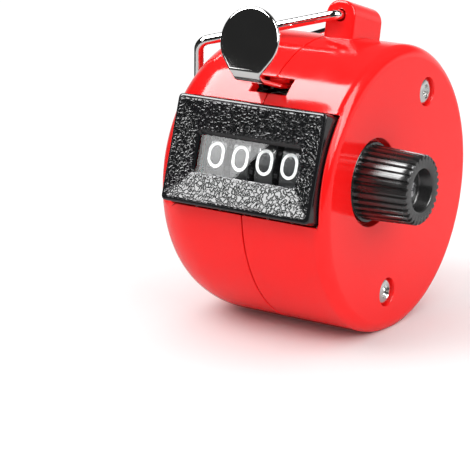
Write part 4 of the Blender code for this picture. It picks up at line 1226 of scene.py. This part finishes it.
# %% [markdown]
# The sky stands in for a studio. The camera sees plain white. What gloss and chrome mirror is
# a bright backdrop low behind the counter, which fades out above, below and to the far left,
# and almost nothing on the camera's side. Matt surfaces get a soft dome of light that is
# strongest from above and behind. Each is made of smooth fades along the axes of the ray's
# direction.

# %% World
world = bpy.data.worlds.new("studio")
bpy.context.scene.world = world
world.use_nodes = True
sky = world.node_tree
direction = add_node(sky, "ShaderNodeSeparateXYZ", {
    0: add_node(sky, "ShaderNodeTexCoord").outputs["Generated"]})
path = add_node(sky, "ShaderNodeLightPath")
times = partial(calculate, sky, "MULTIPLY")


def fade(axis, start, end, low, high):
    """A smooth change from low to high as one axis of the direction goes from start to end."""
    return add_node(sky, "ShaderNodeMapRange", {
        "Value": direction.outputs[axis], "From Min": start, "From Max": end,
        "To Min": low, "To Max": high}, interpolation_type="SMOOTHSTEP").outputs["Result"]


def choose(ray, others, value):
    """One value for a kind of ray, and another for all other rays."""
    return add_node(sky, "ShaderNodeMix", {
        "Factor": path.outputs[ray], 2: others, 3: value}, data_type="FLOAT").outputs[0]


backdrop = times(fade("Y", -0.10, 0.50, 0.0, 0.80), fade("Z", 0.06, 0.30, 1.0, 0.12))
backdrop = times(backdrop, fade("Z", -0.70, -0.25, 0.25, 1.0))
backdrop = times(backdrop, fade("X", -0.92, -0.62, 0.08, 1.0))
near_side = times(fade("Y", -0.30, 0.20, 0.06, 0.0), fade("Z", -0.25, 0.0, 1.0, 0.35))
mirrored = calculate(sky, "ADD", backdrop, near_side)
dome = times(fade("Z", 0.0, 0.6, 0.12, 1.32), fade("Y", -0.8, 0.8, 0.70, 1.25))
strength = choose("Is Camera Ray", choose("Is Diffuse Ray", mirrored, dome), 1.05)
connect(sky, sky.nodes["Background"], {"Color": (1, 1, 1, 1), "Strength": strength})
print("sky nodes:", len(sky.nodes))

# %% [markdown]
# Gloss shows its lamps as shapes, so the lamps that make highlights are kept apart from those
# that light. The overhead softbox is the pale patch above the display frame and the shine on
# the frame's lower slope, and the rim strip is the line on the right shell's rounded edge.
# Both are seen in gloss only. The key light and the front fill light the plastic and make the
# soft shadow, and gloss doesn't show them. The right fill does both for the right end face.
# A brightness is given for each part of a lamp's area, so a larger lamp looks no brighter.

# %% Lights
aim = Vector((0, 0, 0.025))


def set_axes(made, place, across, up, back):
    """Put an object at a place, with its three axes along these directions."""
    made.matrix_world = Matrix.Translation(place) @ Matrix((across, up, back)).transposed().to_4x4()


def softbox(name, toward, distance, size, brightness, unseen_by=None):
    """An area light in a direction from the counter, facing it. One kind of ray may miss it."""
    lamp = bpy.data.lights.new(name, "AREA")
    lamp.shape = "RECTANGLE"
    lamp.size, lamp.size_y = size
    lamp.energy = brightness * math.pi * size[0] * size[1]
    made = plain_object(lamp, name)
    way = Vector(toward).normalized()
    across = (Vector((1, 0, 0)) - way * way.x).normalized()
    set_axes(made, aim + way * distance, across, way.cross(across), way)
    made.visible_camera = False
    if unseen_by:
        setattr(made, "visible_" + unseen_by, False)
    print(name, "power:", round(lamp.energy, 2), "W")
    return made


softbox("overhead_softbox", (-0.53, -0.33, 0.785), 0.6, (0.44, 0.56), 13.5, unseen_by="diffuse")
softbox("key_light", (-0.40, -0.50, 0.77), 0.8, (0.50, 0.50), 4.0, unseen_by="glossy")
softbox("right_fill", (0.85, -0.35, 0.55), 0.8, (0.4, 0.4), 3.4)
softbox("rim_strip", (0.742, -0.048, 0.666), 0.6, (0.60, 0.25), 8.0, unseen_by="diffuse")
softbox("front_fill", (0.30, -0.93, 0.10), 0.8, (0.4, 0.3), 1.9, unseen_by="glossy")

# %% [markdown]
# The left part of the window mirrors something bright, with a slanting edge, and the rest is
# clear. A small bright card close to the window does this, as a card in a studio would.
# Two points on one side of the card, its foot and its top, set where the patch ends.

# %% The card that the window mirrors
card_way = (-0.54, -0.79, 0.285)
card_width = 0.0100
card_height = 0.0158
card_rise = 0.0017
card_foot = Vector((-0.04292, -0.08579, 0.04960))
card_top = Vector((-0.03880, -0.08454, 0.05453))
card_up = (card_top - card_foot).normalized()
card_across = card_up.cross(Vector(card_way)).normalized()
card_centre = card_foot + card_up * card_rise - card_across * card_width / 2
card = softbox("window_card", card_way, 0.08, (card_width, card_height), 3.8, unseen_by="diffuse")
set_axes(card, card_centre, card_across, card_up, card_across.cross(card_up))

# %% [markdown]
# The picture is taken from the right and a little above, with a long lens, so the drum's
# ellipses hardly change from front to back. The small shift gives the photograph's framing.

# %% Camera
camera_place = (0.169146, -0.275564, 0.107875)
camera_across = Vector((0.834827, 0.550512, 0))
camera_up = Vector((-0.152931, 0.231913, 0.960640))
camera_back = Vector((0.528844, -0.801968, 0.277797))
lens_data = bpy.data.cameras.new("camera")
lens_data.lens = 158.14
lens_data.sensor_width = 36.0
lens_data.shift_x = -0.0217
lens_data.shift_y = -0.0244
camera = plain_object(lens_data, "camera")
set_axes(camera, camera_place, camera_across, camera_up, camera_back)
bpy.context.scene.camera = camera
bpy.context.scene.view_settings.view_transform = "Standard"
print("camera:", [round(v, 3) for v in camera.matrix_world.translation])
